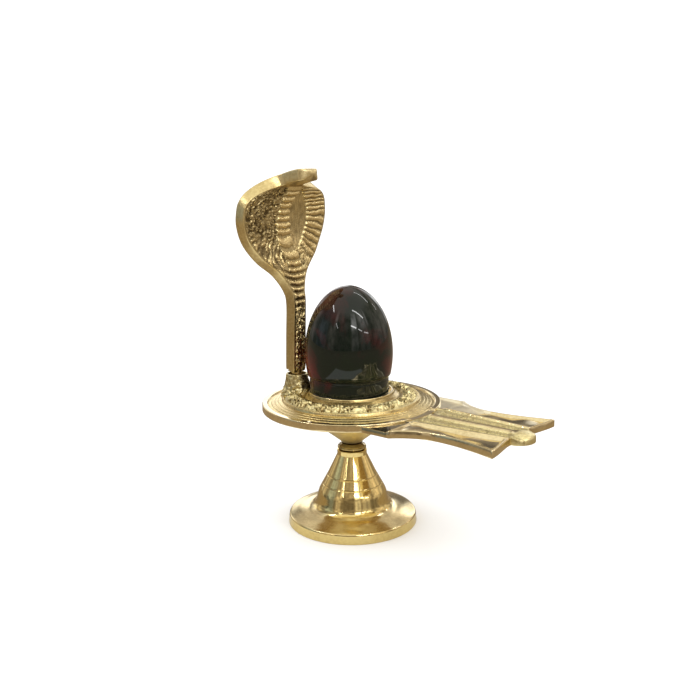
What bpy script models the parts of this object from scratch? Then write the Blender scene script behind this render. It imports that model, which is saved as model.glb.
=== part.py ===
"""A household shiva lingam: a polished stone egg on a brass yoni plate, a turned foot and a naga hood.

Metres, +Z up. The resting ring is at Z = 0, and the spout runs along +X. Every piece is modelled around
the foot's axis, and one empty on that axis stands the whole part with its box centred on the Z axis.
"""

import math

import bmesh
import bpy
import numpy as np

# Foot: a turned brass bell on a flange, hollow underneath
FOOT_RADIUS = 0.0305
FLANGE_FLARE = 0.0005
FLANGE_WALL = 0.0039
FLANGE_ROUNDING = 0.0011
FLANGE_RISE = 0.0028
COVE_RADIUS = 0.0012
BELL_RADIUS = 0.0175
BELL_ARC_RADIUS = 0.014
BELL_HALF_ANGLE = math.radians(28.2)
LIP_RADIUS = 0.0070
LIP_HEIGHT = 0.0023
NECK_RADIUS = 0.0049
NECK_HEIGHT = 0.0040
BEAD_RADIUS = 0.0070
BEAD_SECTION = 0.00125
FOOT_WALL = 0.0021
RESTING_RING_WIDTH = 0.0026

# Yoni plate: a cast dish with a boss and a spigot below
SPIGOT_RADIUS = 0.0029
SPIGOT_LENGTH = 0.0070
SPIGOT_CLEARANCE = 0.0003
SEAT_GAP = 0.0003
BOSS_RADIUS = 0.0058
BOSS_HEIGHT = 0.0170
BOSS_SPREAD = 0.0260
BOSS_CURVE = 1.2
BOSS_STEPS = 6
PLATE_RADIUS = 0.0415
RIM_HEIGHT = 0.0034
RIM_LIP_WIDTH = 0.0030
RIM_LIP_STEP = 0.0008
RIM_EDGE = 0.0005
TURNED_STEPS = 3
TURNED_RISE = 0.0026
RELIEF_OUTER_RADIUS = 0.0311
RELIEF_INNER_RADIUS = 0.0235
RELIEF_HEIGHT = 0.0020
RELIEF_SWELL = 0.0009
RELIEF_LOBES = 18
CHANNEL_FLOOR = 0.0008
HOLDER_WALL = 0.0011
HOLDER_HEIGHT = 0.0032
HOLDER_RECESS = 0.0018
HOLDER_CLEARANCE = 0.0003

# Spout: square shoulders, sides drawn in, a fishtail end and a ridged channel with a rounded tongue
SHOULDER_HALF_WIDTH = 0.0295
SHOULDER_END = 0.0432
WAIST_HALF_WIDTH = 0.0214
WAIST_PLACE = 0.0635
TAIL_END = 0.0897
TAIL_HALF_WIDTH = 0.0265
TAIL_NOTCH_DEPTH = 0.0022
TONGUE_LENGTH = 0.0040
TONGUE_HALF_WIDTH = 0.0072
SPOUT_THICKNESS = 0.0033
SPOUT_BORDER = 0.0013
WING_HOLLOW = 0.0007
CHANNEL_START_HALF_WIDTH = 0.0130
CHANNEL_RIDGE = 0.0009
CHANNEL_RIDGE_WIDTH = 0.0034
DRAIN_RADIUS = 0.0016

# Socket for the naga hood, on the relief band
SOCKET_ANGLE = math.radians(208)
SOCKET_PLACE = 0.0259
SOCKET_TAPER = 0.0018
SOCKET_MOUTH_WALL = 0.0007
SOCKET_HEIGHT = 0.0100
SOCKET_FUNNEL_DEPTH = 0.0022
SOCKET_FUNNEL_STEP = 0.0015
TENON_RADIUS = 0.0025
TENON_LENGTH = 0.0095
TENON_CLEARANCE = 0.0003

# Lingam: an egg on a narrower foot band
LINGAM_RADIUS = 0.0203
LINGAM_HEIGHT = 0.0500
LINGAM_BAND_RADIUS = 0.0175
LINGAM_BAND_HEIGHT = 0.0085
LINGAM_BELLY_HEIGHT = 0.0190
LINGAM_POWER = 1.93
LINGAM_SHIFT = 0.0009

# Naga hood: a curved cast plate with its head bent forward over the lingam
NAGA_HEIGHT = 0.0912
NAGA_GAP = 0.0021
NAGA_THICKNESS = 0.0053
HOOD_HALF_WIDTH = 0.0271
STEM_HALF_WIDTH = 0.0042
HEAD_HALF_WIDTH = 0.0062
HOOD_CUP = 0.0014
HOOD_TURN = math.radians(2.5)
BELLY_SCALE_PITCH = 0.0029
BELLY_SCALE_DEPTH = 0.0006
BELLY_HALF_WIDTH = 0.0042
BELLY_SWELL = 0.0010
HOOD_RIB_DEPTH = 0.0003

FOOT_SEGMENTS = 36
PLATE_SEGMENTS = 48
LINGAM_SEGMENTS = 30
SMALL_SEGMENTS = 18
RELIEF_STEPS_A_LOBE = 3
SHARP_ANGLE = math.radians(35)

# Heights that follow from the sizes above
BELL_BASE_Z = FLANGE_WALL + FLANGE_ROUNDING + FLANGE_RISE
BELL_ARC_TOP_Z = BELL_BASE_Z + COVE_RADIUS + BELL_ARC_RADIUS * math.sin(BELL_HALF_ANGLE)
BELL_ARC_TOP_RADIUS = BELL_RADIUS - BELL_ARC_RADIUS * (1 - math.cos(BELL_HALF_ANGLE))
LIP_Z = BELL_ARC_TOP_Z + (BELL_ARC_TOP_RADIUS - LIP_RADIUS) / math.tan(BELL_HALF_ANGLE)
NECK_Z = LIP_Z + LIP_HEIGHT
FOOT_TOP_Z = NECK_Z + NECK_HEIGHT
BOSS_Z = FOOT_TOP_Z + SEAT_GAP
PLATE_UNDERSIDE_Z = BOSS_Z + BOSS_HEIGHT
RIM_TOP_Z = PLATE_UNDERSIDE_Z + RIM_HEIGHT
TURNED_FOOT_Z = RIM_TOP_Z - RIM_LIP_STEP
RELIEF_FOOT_Z = TURNED_FOOT_Z + TURNED_RISE
HOLDER_BORE = LINGAM_BAND_RADIUS + LINGAM_SHIFT + HOLDER_CLEARANCE
HOLDER_RADIUS = HOLDER_BORE + HOLDER_WALL
HOLDER_TOP_Z = RELIEF_FOOT_Z + HOLDER_HEIGHT
HOLDER_FLOOR_Z = HOLDER_TOP_Z - HOLDER_RECESS
LINGAM_Z = HOLDER_FLOOR_Z + SEAT_GAP
SOCKET_Z = RELIEF_FOOT_Z + SOCKET_HEIGHT
SPOUT_TOP_Z = RIM_TOP_Z
SPOUT_UNDERSIDE_Z = SPOUT_TOP_Z - SPOUT_THICKNESS
NAGA_Z = SOCKET_Z + NAGA_GAP

# Places and radii that follow from the sizes above
SOCKET_X = SOCKET_PLACE * math.cos(SOCKET_ANGLE)
SOCKET_Y = SOCKET_PLACE * math.sin(SOCKET_ANGLE)
SOCKET_BORE = TENON_RADIUS + TENON_CLEARANCE
SOCKET_FUNNEL_RADIUS = SOCKET_BORE + SOCKET_FUNNEL_STEP
SOCKET_MOUTH_RADIUS = SOCKET_FUNNEL_RADIUS + SOCKET_MOUTH_WALL
SOCKET_BASE_RADIUS = SOCKET_MOUTH_RADIUS + SOCKET_TAPER
TONGUE_TIP_X = TAIL_END + TONGUE_LENGTH
PART_CENTER_X = (TONGUE_TIP_X - PLATE_RADIUS) / 2


def clear_scene():
    for item in list(bpy.data.objects):
        bpy.data.objects.remove(item, do_unlink=True)


def make_collection(name):
    collection = bpy.data.collections.new(name)
    bpy.context.scene.collection.children.link(collection)
    return collection


def make_material(name, color, roughness, metallic):
    material = bpy.data.materials.new(name)
    material.use_nodes = True
    shader = material.node_tree.nodes["Principled BSDF"]
    shader.inputs["Base Color"].default_value = (*color, 1.0)
    shader.inputs["Roughness"].default_value = roughness
    shader.inputs["Metallic"].default_value = metallic
    return material


def place(name, mesh, collection, material):
    part = bpy.data.objects.new(name, mesh)
    collection.objects.link(part)
    mesh.materials.append(material)
    return part


def mark_as_cutter(part):
    part.hide_render = True
    part.display_type = "WIRE"
    return part


def arc(center, radius, start, end, steps):
    """Points on an arc in the profile plane, from the start angle to the end angle."""
    angles = np.linspace(start, end, steps + 1)
    return [(center[0] + radius * math.cos(a), center[1] + radius * math.sin(a)) for a in angles]


def turned(name, profile, closed, segments, collection, material):
    """Turns a profile of (radius, height) points, given down its outer side, around the Z axis."""
    mesh = bpy.data.meshes.new(name)
    count = len(profile)
    edges = [(i, i + 1) for i in range(count - 1)]
    if closed:
        edges.append((count - 1, 0))
    mesh.from_pydata([(radius, 0, height) for radius, height in profile], edges, [])
    part = place(name, mesh, collection, material)
    screw = part.modifiers.new("Turn", "SCREW")
    screw.axis = "Z"
    screw.angle = math.tau
    screw.steps = segments
    screw.render_steps = segments
    screw.use_merge_vertices = True
    screw.merge_threshold = 0.00001
    screw.use_smooth_shade = True
    return part


def prism(name, outline, bottom, top, collection, material):
    """Extrudes a counter-clockwise outline of (x, y) points from bottom to top."""
    builder = bmesh.new()
    corners = [builder.verts.new((x, y, bottom)) for x, y in outline]
    floor = builder.faces.new(corners)
    lifted = bmesh.ops.extrude_face_region(builder, geom=[floor])
    raised = [item for item in lifted["geom"] if isinstance(item, bmesh.types.BMVert)]
    bmesh.ops.translate(builder, vec=(0, 0, top - bottom), verts=raised)
    bmesh.ops.recalc_face_normals(builder, faces=builder.faces)
    mesh = bpy.data.meshes.new(name)
    builder.to_mesh(mesh)
    builder.free()
    return place(name, mesh, collection, material)


def skin(name, rings, closed_ends, collection, material):
    """Joins equal rings of points into one closed skin. Without ends, the last ring joins the first."""
    builder = bmesh.new()
    rows = [[builder.verts.new(point) for point in ring] for ring in rings]
    width = len(rows[0])
    pairs = list(zip(rows, rows[1:]))
    if not closed_ends:
        pairs.append((rows[-1], rows[0]))
    for low, high in pairs:
        for i in range(width):
            j = (i + 1) % width
            builder.faces.new((low[i], low[j], high[j], high[i]))
    if closed_ends:
        builder.faces.new(list(reversed(rows[0])))
        builder.faces.new(rows[-1])
    bmesh.ops.recalc_face_normals(builder, faces=builder.faces)
    mesh = bpy.data.meshes.new(name)
    builder.to_mesh(mesh)
    builder.free()
    return place(name, mesh, collection, material)


def combine(part, other, operation):
    boolean = part.modifiers.new(f"{operation.title()} {other.name}", "BOOLEAN")
    boolean.operation = operation
    boolean.solver = "EXACT"
    boolean.object = other


def smooth_shading(part):
    for polygon in part.data.polygons:
        polygon.use_smooth = True
    part.data.set_sharp_from_angle(angle=SHARP_ANGLE)


def ease(value, low, high):
    """0 below low and 1 above high, with a smooth step between."""
    share = min(max((value - low) / (high - low), 0), 1)
    return share * share * (3 - 2 * share)


def build_foot(collection, material):
    neck_bore = SPIGOT_RADIUS + SPIGOT_CLEARANCE
    bead_center = (BEAD_RADIUS - BEAD_SECTION, NECK_Z + NECK_HEIGHT / 2)
    bead_reach = math.acos((NECK_RADIUS - bead_center[0]) / BEAD_SECTION)
    rounding_center = (FOOT_RADIUS - FLANGE_FLARE - FLANGE_ROUNDING, FLANGE_WALL)
    bell_arc_center = (BELL_RADIUS - BELL_ARC_RADIUS, BELL_BASE_Z + COVE_RADIUS)
    cove_center = (BELL_RADIUS + COVE_RADIUS, BELL_BASE_Z + COVE_RADIUS)
    slope = math.atan2(FLANGE_RISE, FOOT_RADIUS - BELL_RADIUS - COVE_RADIUS)
    outside = [(neck_bore, FOOT_TOP_Z), (NECK_RADIUS, FOOT_TOP_Z)]
    outside += arc(bead_center, BEAD_SECTION, bead_reach, -bead_reach, 5)
    outside += [(NECK_RADIUS, NECK_Z), (LIP_RADIUS, NECK_Z), (LIP_RADIUS, LIP_Z)]
    outside += arc(bell_arc_center, BELL_ARC_RADIUS, BELL_HALF_ANGLE, 0, 4)
    outside += arc(cove_center, COVE_RADIUS, math.pi, 1.5 * math.pi - slope, 3)[1:]
    outside += arc(rounding_center, FLANGE_ROUNDING, math.pi / 2 - slope, 0, 3)
    outside += [(FOOT_RADIUS, 0)]
    hollow_radius = BELL_RADIUS - FOOT_WALL
    inner_lip = neck_bore + FOOT_WALL / 2
    inside = [
        (FOOT_RADIUS - RESTING_RING_WIDTH, 0),
        (FOOT_RADIUS - RESTING_RING_WIDTH, FLANGE_WALL - FOOT_WALL),
        (hollow_radius, BELL_BASE_Z - FOOT_WALL),
        (hollow_radius, BELL_BASE_Z + COVE_RADIUS),
        (BELL_ARC_TOP_RADIUS - FOOT_WALL, BELL_ARC_TOP_Z),
        (inner_lip, LIP_Z - FOOT_WALL),
        (neck_bore, LIP_Z),
    ]
    return turned("foot", outside + inside, True, FOOT_SEGMENTS, collection, material)


def dish_profile():
    """The plate's turned outline, from the holder's floor out over the rim and down to the spigot."""
    floor_z = RELIEF_FOOT_Z + CHANNEL_FLOOR
    holder_round = HOLDER_WALL / 2
    profile = [(0, HOLDER_FLOOR_Z), (HOLDER_BORE, HOLDER_FLOOR_Z)]
    profile += arc((HOLDER_BORE + holder_round, HOLDER_TOP_Z - holder_round), holder_round, math.pi, 0, 3)
    channel_reach = RELIEF_INNER_RADIUS - HOLDER_RADIUS
    profile += [
        (HOLDER_RADIUS + channel_reach * 0.2, floor_z + CHANNEL_FLOOR),
        (HOLDER_RADIUS + channel_reach * 0.6, floor_z),
        (RELIEF_INNER_RADIUS, floor_z),
        (RELIEF_OUTER_RADIUS, RELIEF_FOOT_Z),
    ]
    lip_inner = PLATE_RADIUS - RIM_LIP_WIDTH
    step_width = (lip_inner - RELIEF_OUTER_RADIUS) / TURNED_STEPS
    step_fall = TURNED_RISE / TURNED_STEPS
    for step in range(TURNED_STEPS):
        radius = RELIEF_OUTER_RADIUS + step * step_width
        height = RELIEF_FOOT_Z - step * step_fall
        profile.append((radius + step_width * 0.3, height - step_fall))
        profile.append((radius + step_width, height - step_fall))
    profile += [
        (lip_inner + RIM_EDGE, RIM_TOP_Z),
        (PLATE_RADIUS - RIM_EDGE, RIM_TOP_Z),
        (PLATE_RADIUS, RIM_TOP_Z - RIM_EDGE),
        (PLATE_RADIUS, PLATE_UNDERSIDE_Z + RIM_EDGE),
        (PLATE_RADIUS - RIM_EDGE, PLATE_UNDERSIDE_Z),
    ]
    for step in range(BOSS_STEPS + 1):
        share = step / BOSS_STEPS
        spread = (1 - share) ** BOSS_CURVE
        radius = BOSS_RADIUS + (BOSS_SPREAD - BOSS_RADIUS) * spread
        profile.append((radius, PLATE_UNDERSIDE_Z - BOSS_HEIGHT * share))
    profile += [
        (SPIGOT_RADIUS, BOSS_Z),
        (SPIGOT_RADIUS, BOSS_Z - SPIGOT_LENGTH),
        (0, BOSS_Z - SPIGOT_LENGTH),
    ]
    return profile


def relief_band(collection, material):
    """A raised band whose inner edge runs in lobes, like the coils and leaves of the casting."""
    segments = RELIEF_LOBES * RELIEF_STEPS_A_LOBE
    middle = (RELIEF_INNER_RADIUS + RELIEF_OUTER_RADIUS) / 2
    rings = []
    for i in range(segments):
        angle = math.tau * i / segments
        lobe = abs(math.sin(RELIEF_LOBES * angle / 2))
        top = RELIEF_FOOT_Z + RELIEF_HEIGHT + RELIEF_SWELL * (lobe - 0.5)
        inner = RELIEF_INNER_RADIUS + RELIEF_SWELL * (1 - lobe)
        section = [
            (inner, RELIEF_FOOT_Z - RELIEF_HEIGHT),
            (inner, RELIEF_FOOT_Z + CHANNEL_FLOOR + RELIEF_HEIGHT * 0.25),
            (inner + RELIEF_SWELL, top),
            (middle + RELIEF_SWELL, top),
            (RELIEF_OUTER_RADIUS - RELIEF_SWELL, RELIEF_FOOT_Z + RELIEF_HEIGHT * 0.45),
            (RELIEF_OUTER_RADIUS - RIM_EDGE, RELIEF_FOOT_Z - RIM_EDGE),
            (middle, RELIEF_FOOT_Z - RELIEF_HEIGHT),
        ]
        rings.append([(r * math.cos(angle), r * math.sin(angle), z) for r, z in section])
    return skin("relief_band", rings, False, collection, material)


def spout_half_width(x):
    """Half the spout's width: level shoulders, then a drawn-in side that opens to the tail."""
    if x <= SHOULDER_END:
        return SHOULDER_HALF_WIDTH
    if x <= WAIST_PLACE:
        share = (WAIST_PLACE - x) / (WAIST_PLACE - SHOULDER_END)
        return WAIST_HALF_WIDTH + (SHOULDER_HALF_WIDTH - WAIST_HALF_WIDTH) * share ** 2.4
    share = (x - WAIST_PLACE) / (TAIL_END - WAIST_PLACE)
    return WAIST_HALF_WIDTH + (TAIL_HALF_WIDTH - WAIST_HALF_WIDTH) * share ** 1.7


def channel_half_width(x):
    """Half the width between the channel's two border ridges."""
    share = min(max((TAIL_END - x) / (TAIL_END - SHOULDER_END), 0), 1)
    return TONGUE_HALF_WIDTH + (CHANNEL_START_HALF_WIDTH - TONGUE_HALF_WIDTH) * share ** 1.8


def spout_side(inset):
    """The +Y side of the spout from its shoulder to its tongue, drawn in by an inset."""
    stations = np.linspace(SHOULDER_END, TAIL_END, 11)
    side = [(x, spout_half_width(x) - inset) for x in stations[:-1]]
    side.append((TAIL_END - inset, TAIL_HALF_WIDTH - inset * 1.3))
    notch = TAIL_END - TAIL_NOTCH_DEPTH
    side.append((notch + TAIL_NOTCH_DEPTH * 0.35 - inset, TAIL_HALF_WIDTH * 0.7))
    side.append((notch - inset, TAIL_HALF_WIDTH * 0.45))
    return side


def tongue(inset):
    """The rounded end of the channel, from its +Y side round to the middle."""
    start = TAIL_END - TAIL_NOTCH_DEPTH
    reach = TONGUE_TIP_X - start
    points = []
    for step in range(6):
        angle = math.pi / 2 * (1 - step / 5)
        points.append((start + (reach - inset) * math.cos(angle), (TONGUE_HALF_WIDTH - inset) * math.sin(angle)))
    return points


def mirrored(side):
    """A counter-clockwise outline from a +Y side whose last point may lie on the middle line."""
    lower = [(x, -y) for x, y in side if y > 0.00001]
    return lower + list(reversed(side))


def spout_body(collection, material):
    root = (PLATE_RADIUS * 0.55, SHOULDER_HALF_WIDTH * 0.75)
    shoulder = (math.sqrt(PLATE_RADIUS ** 2 - SHOULDER_HALF_WIDTH ** 2) - RIM_EDGE, SHOULDER_HALF_WIDTH)
    side = [root, shoulder] + spout_side(0) + tongue(0)
    outline = mirrored(side)
    return prism("spout_body", outline, SPOUT_UNDERSIDE_Z, SPOUT_TOP_Z, collection, material)


def wing_hollow(name, side, collection, material):
    """The shallow polished hollow between the wing's border and the channel, on side +1 or -1."""
    start = PLATE_RADIUS + RIM_EDGE
    outer = [point for point in spout_side(SPOUT_BORDER) if point[0] > start]
    outer = [(start, SHOULDER_HALF_WIDTH * 0.62)] + outer
    stations = np.linspace(TAIL_END - TAIL_NOTCH_DEPTH - SPOUT_BORDER, start, 9)
    inner = [(x, channel_half_width(x) + SPOUT_BORDER) for x in stations]
    outline = [(x, side * y) for x, y in outer + inner]
    if side > 0:
        outline.reverse()
    bottom = SPOUT_TOP_Z - WING_HOLLOW
    return prism(name, outline, bottom, SPOUT_TOP_Z + WING_HOLLOW, collection, material)


def channel_ridge(name, start, end, half_width, collection, material):
    """A rounded ridge along the channel, between two (x, y) points."""
    along = np.array([end[0] - start[0], end[1] - start[1]])
    length = np.linalg.norm(along)
    across = np.array([-along[1], along[0]]) / length
    rings = []
    for share, scale in ((0, 0.4), (0.05, 1), (0.85, 1), (1, 0.3)):
        middle = np.array(start) + along * share
        section = []
        for place_across, lift in ((-1, -1), (-1, 0.2), (-0.5, 0.85), (0.5, 0.85), (1, 0.2), (1, -1)):
            point = middle + across * half_width * place_across * scale
            section.append((point[0], point[1], SPOUT_TOP_Z + CHANNEL_RIDGE * lift))
        rings.append(section)
    return skin(name, rings, True, collection, material)


def channel_ridges(collection, material):
    start = PLATE_RADIUS - RIM_EDGE
    tip = TAIL_END + TONGUE_LENGTH * 0.45
    half = CHANNEL_RIDGE_WIDTH / 2
    ridges = [channel_ridge("ridge_middle", (start, 0), (tip, 0), half, collection, material)]
    for side, name in ((1, "far"), (-1, "near")):
        begin = (start, side * CHANNEL_START_HALF_WIDTH * 0.62)
        end = (tip, side * TONGUE_HALF_WIDTH * 0.5)
        ridges.append(channel_ridge(f"ridge_{name}", begin, end, half * 0.45, collection, material))
    return ridges


def cylinder(name, radius, length, center, turn, collection, material):
    builder = bmesh.new()
    bmesh.ops.create_cone(
        builder, cap_ends=True, segments=SMALL_SEGMENTS, radius1=radius, radius2=radius, depth=length
    )
    mesh = bpy.data.meshes.new(name)
    builder.to_mesh(mesh)
    builder.free()
    part = place(name, mesh, collection, material)
    part.location = center
    part.rotation_euler = turn
    return part


def build_plate(collection, cutters, material):
    plate = turned("yoni_plate", dish_profile(), False, PLATE_SEGMENTS, collection, material)
    socket_root_z = RELIEF_FOOT_Z - RELIEF_HEIGHT / 2
    socket = turned(
        "socket",
        [
            (0, SOCKET_Z),
            (SOCKET_MOUTH_RADIUS - SOCKET_MOUTH_WALL / 2, SOCKET_Z),
            (SOCKET_MOUTH_RADIUS, SOCKET_Z - SOCKET_MOUTH_WALL / 2),
            (SOCKET_BASE_RADIUS, socket_root_z),
            (0, socket_root_z),
        ],
        False, SMALL_SEGMENTS, cutters, material,
    )
    bore_bottom_z = NAGA_Z - TENON_LENGTH - TENON_CLEARANCE
    bore = turned(
        "socket_bore",
        [
            (0, SOCKET_Z + SOCKET_FUNNEL_DEPTH),
            (SOCKET_FUNNEL_RADIUS, SOCKET_Z + SOCKET_FUNNEL_DEPTH),
            (SOCKET_FUNNEL_RADIUS, SOCKET_Z - SOCKET_FUNNEL_DEPTH / 2),
            (SOCKET_BORE, SOCKET_Z - SOCKET_FUNNEL_DEPTH),
            (SOCKET_BORE, bore_bottom_z),
            (0, bore_bottom_z),
        ],
        False, SMALL_SEGMENTS, cutters, material,
    )
    for piece in (socket, bore):
        piece.location = (SOCKET_X, SOCKET_Y, 0)
    added = [relief_band(cutters, material), spout_body(cutters, material), socket]
    added += channel_ridges(cutters, material)
    drain_z = RIM_TOP_Z + DRAIN_RADIUS * 0.3
    drain = cylinder(
        "drain", DRAIN_RADIUS, RIM_LIP_WIDTH * 2.4, (PLATE_RADIUS - RIM_LIP_WIDTH / 2, 0, drain_z),
        (0, math.pi / 2, 0), cutters, material,
    )
    removed = [wing_hollow("hollow_far", 1, cutters, material), wing_hollow("hollow_near", -1, cutters, material)]
    removed += [bore, drain]
    for piece in added:
        combine(plate, piece, "UNION")
    for piece in removed:
        combine(plate, piece, "DIFFERENCE")
    for piece in added + removed:
        mark_as_cutter(piece)
    return plate


def lingam_profile():
    """The egg's outline from its top down to the seat, with the narrower band at its foot."""
    top_z = LINGAM_Z + LINGAM_HEIGHT
    belly_z = LINGAM_Z + LINGAM_BELLY_HEIGHT
    rise = top_z - belly_z
    band_top_z = LINGAM_Z + LINGAM_BAND_HEIGHT
    profile = []
    for step in range(11):
        share = math.cos(math.pi / 2 * step / 10)
        radius = LINGAM_RADIUS * (1 - share ** 2) ** (1 / LINGAM_POWER)
        profile.append((radius, belly_z + rise * share))
    for height in np.linspace(belly_z, band_top_z, 4)[1:]:
        share = (belly_z - height) / rise
        profile.append((LINGAM_RADIUS * math.sqrt(1 - share ** 2), height))
    chamfer = (LINGAM_RADIUS - LINGAM_BAND_RADIUS) / 3
    profile += [
        (LINGAM_BAND_RADIUS, band_top_z - chamfer),
        (LINGAM_BAND_RADIUS, LINGAM_Z + chamfer / 2),
        (LINGAM_BAND_RADIUS - chamfer / 2, LINGAM_Z),
        (0, LINGAM_Z),
    ]
    return profile


def build_lingam(collection, material):
    lingam = turned("lingam", lingam_profile(), False, LINGAM_SEGMENTS, collection, material)
    lingam.location = (LINGAM_SHIFT * math.cos(SOCKET_ANGLE), LINGAM_SHIFT * math.sin(SOCKET_ANGLE), 0)
    return lingam


def naga_stations():
    """Stations up the naga: forward and height as shares of its height, and half its width."""
    stem, hood, head = STEM_HALF_WIDTH, HOOD_HALF_WIDTH, HEAD_HALF_WIDTH
    shares = [
        (-0.007, 0.000, stem * 0.86), (-0.006, 0.016, stem), (0.000, 0.180, stem), (0.006, 0.340, stem),
        (-0.006, 0.410, stem * 1.20), (-0.031, 0.490, hood * 0.35), (-0.057, 0.570, hood * 0.66),
        (-0.081, 0.665, hood * 0.90), (-0.087, 0.755, hood), (-0.083, 0.830, hood * 0.98),
        (-0.068, 0.888, hood * 0.90), (-0.042, 0.930, hood * 0.61), (0.000, 0.954, head * 1.05),
        (0.054, 0.968, head), (0.098, 0.976, head * 0.95), (0.124, 0.979, head * 0.74),
        (0.138, 0.979, head * 0.34),
    ]
    return [(forward * NAGA_HEIGHT, height * NAGA_HEIGHT, width) for forward, height, width in shares]


def through(points, spacing):
    """A smooth curve through the points, cut at an even spacing along the first two values."""
    points = np.array(points)
    ends = [2 * points[0] - points[1], 2 * points[-1] - points[-2]]
    guides = np.vstack([ends[0], points, ends[1]])
    fine = []
    for i in range(1, len(guides) - 2):
        before, start, end, after = guides[i - 1:i + 3]
        for share in np.linspace(0, 1, 20, endpoint=False):
            fine.append(0.5 * (
                2 * start + (end - before) * share
                + (2 * before - 5 * start + 4 * end - after) * share ** 2
                + (3 * start - before - 3 * end + after) * share ** 3
            ))
    fine.append(points[-1])
    fine = np.array(fine)
    steps = np.linalg.norm(np.diff(fine[:, :2], axis=0), axis=1)
    lengths = np.concatenate([[0], np.cumsum(steps)])
    count = max(int(round(lengths[-1] / spacing)), 2)
    marks = np.linspace(0, lengths[-1], count + 1)
    return marks, np.column_stack([np.interp(marks, lengths, fine[:, k]) for k in range(fine.shape[1])])


def naga_section(center, direction, half_width, scale_lift, belly):
    """One ring around the naga: the carved front from -Y to +Y, then the plain back."""
    forward = np.array([direction[1], -direction[0]])
    hood_share = ease(half_width, STEM_HALF_WIDTH * 1.2, HOOD_HALF_WIDTH * 0.8)
    turn_lift = math.tan(HOOD_TURN) * hood_share
    half_thick = NAGA_THICKNESS / 2
    edge = NAGA_THICKNESS * 0.05

    def point(across, depth):
        spread = (across / HOOD_HALF_WIDTH) ** 2 * HOOD_CUP
        place_2d = center + forward * (depth + spread)
        return (place_2d[0], across, place_2d[1] + across * turn_lift)

    ring = [point(-half_width, half_thick - edge)]
    front = min(half_width - edge, HOOD_HALF_WIDTH)
    belly_edge = min(BELLY_HALF_WIDTH, front * 0.8)
    between = (belly_edge + front) / 2
    for across in (-front, -between, -belly_edge, -belly_edge * 0.5, 0, belly_edge * 0.5, belly_edge, between, front):
        on_belly = 1 - ease(abs(across), belly_edge * 0.55, belly_edge * 1.01)
        on_rib = hood_share * (1 if abs(across) == between else 0)
        lift = on_belly * (scale_lift * BELLY_SCALE_DEPTH + belly * BELLY_SWELL) + on_rib * scale_lift * HOOD_RIB_DEPTH
        ring.append(point(across, half_thick + lift))
    ring.append(point(half_width, half_thick - edge))
    ring.append(point(half_width, edge - half_thick))
    for across in (front, front * 0.4, -front * 0.4, -front):
        ring.append(point(across, -half_thick))
    ring.append(point(-half_width, edge - half_thick))
    return ring


def build_naga(collection, cutters, material):
    marks, path = through(naga_stations(), BELLY_SCALE_PITCH / 2)
    slopes = np.gradient(path[:, :2], axis=0)
    slopes /= np.linalg.norm(slopes, axis=1)[:, None]
    carved_end = NAGA_HEIGHT * 0.88
    rings = []
    for i, (mark, station) in enumerate(zip(marks, path)):
        fade = ease(mark, 0, BELLY_SCALE_PITCH) * (1 - ease(mark, carved_end * 0.97, carved_end * 1.03))
        belly = ease(station[1], NAGA_HEIGHT * 0.38, NAGA_HEIGHT * 0.55) * fade
        lift = (1 if i % 2 else -0.3) * fade
        rings.append(naga_section(station[:2], slopes[i], station[2], lift, belly))
    naga = skin("naga_hood", rings, True, collection, material)
    naga.location = (SOCKET_X, SOCKET_Y, NAGA_Z)
    root = NAGA_THICKNESS / 2
    tenon = cylinder(
        "tenon", TENON_RADIUS, TENON_LENGTH + root,
        (SOCKET_X, SOCKET_Y, NAGA_Z + (root - TENON_LENGTH) / 2), (0, 0, 0), cutters, material,
    )
    combine(naga, tenon, "UNION")
    mark_as_cutter(tenon)
    return naga


def main():
    clear_scene()
    parts = make_collection("shiva_lingam")
    cutters = make_collection("cutters")
    turned_brass = make_material("turned_brass", (0.72, 0.47, 0.17), 0.16, 1.0)
    cast_brass = make_material("cast_brass", (0.70, 0.48, 0.19), 0.3, 1.0)
    hood_brass = make_material("hood_brass", (0.66, 0.46, 0.19), 0.38, 1.0)
    stone = make_material("polished_stone", (0.018, 0.010, 0.008), 0.06, 0.0)
    build_foot(parts, turned_brass)
    plate = build_plate(parts, cutters, cast_brass)
    build_lingam(parts, stone)
    naga = build_naga(parts, cutters, hood_brass)
    for part in (plate, naga):
        smooth_shading(part)
    foot_axis = bpy.data.objects.new("foot_axis", None)
    foot_axis.location = (-PART_CENTER_X, 0, 0)
    parts.objects.link(foot_axis)
    for part in list(parts.objects) + list(cutters.objects):
        if part is not foot_axis:
            part.parent = foot_axis


main()
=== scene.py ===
import math

import bmesh
import bpy
import numpy as np
from mathutils import Matrix, Vector, noise


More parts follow.
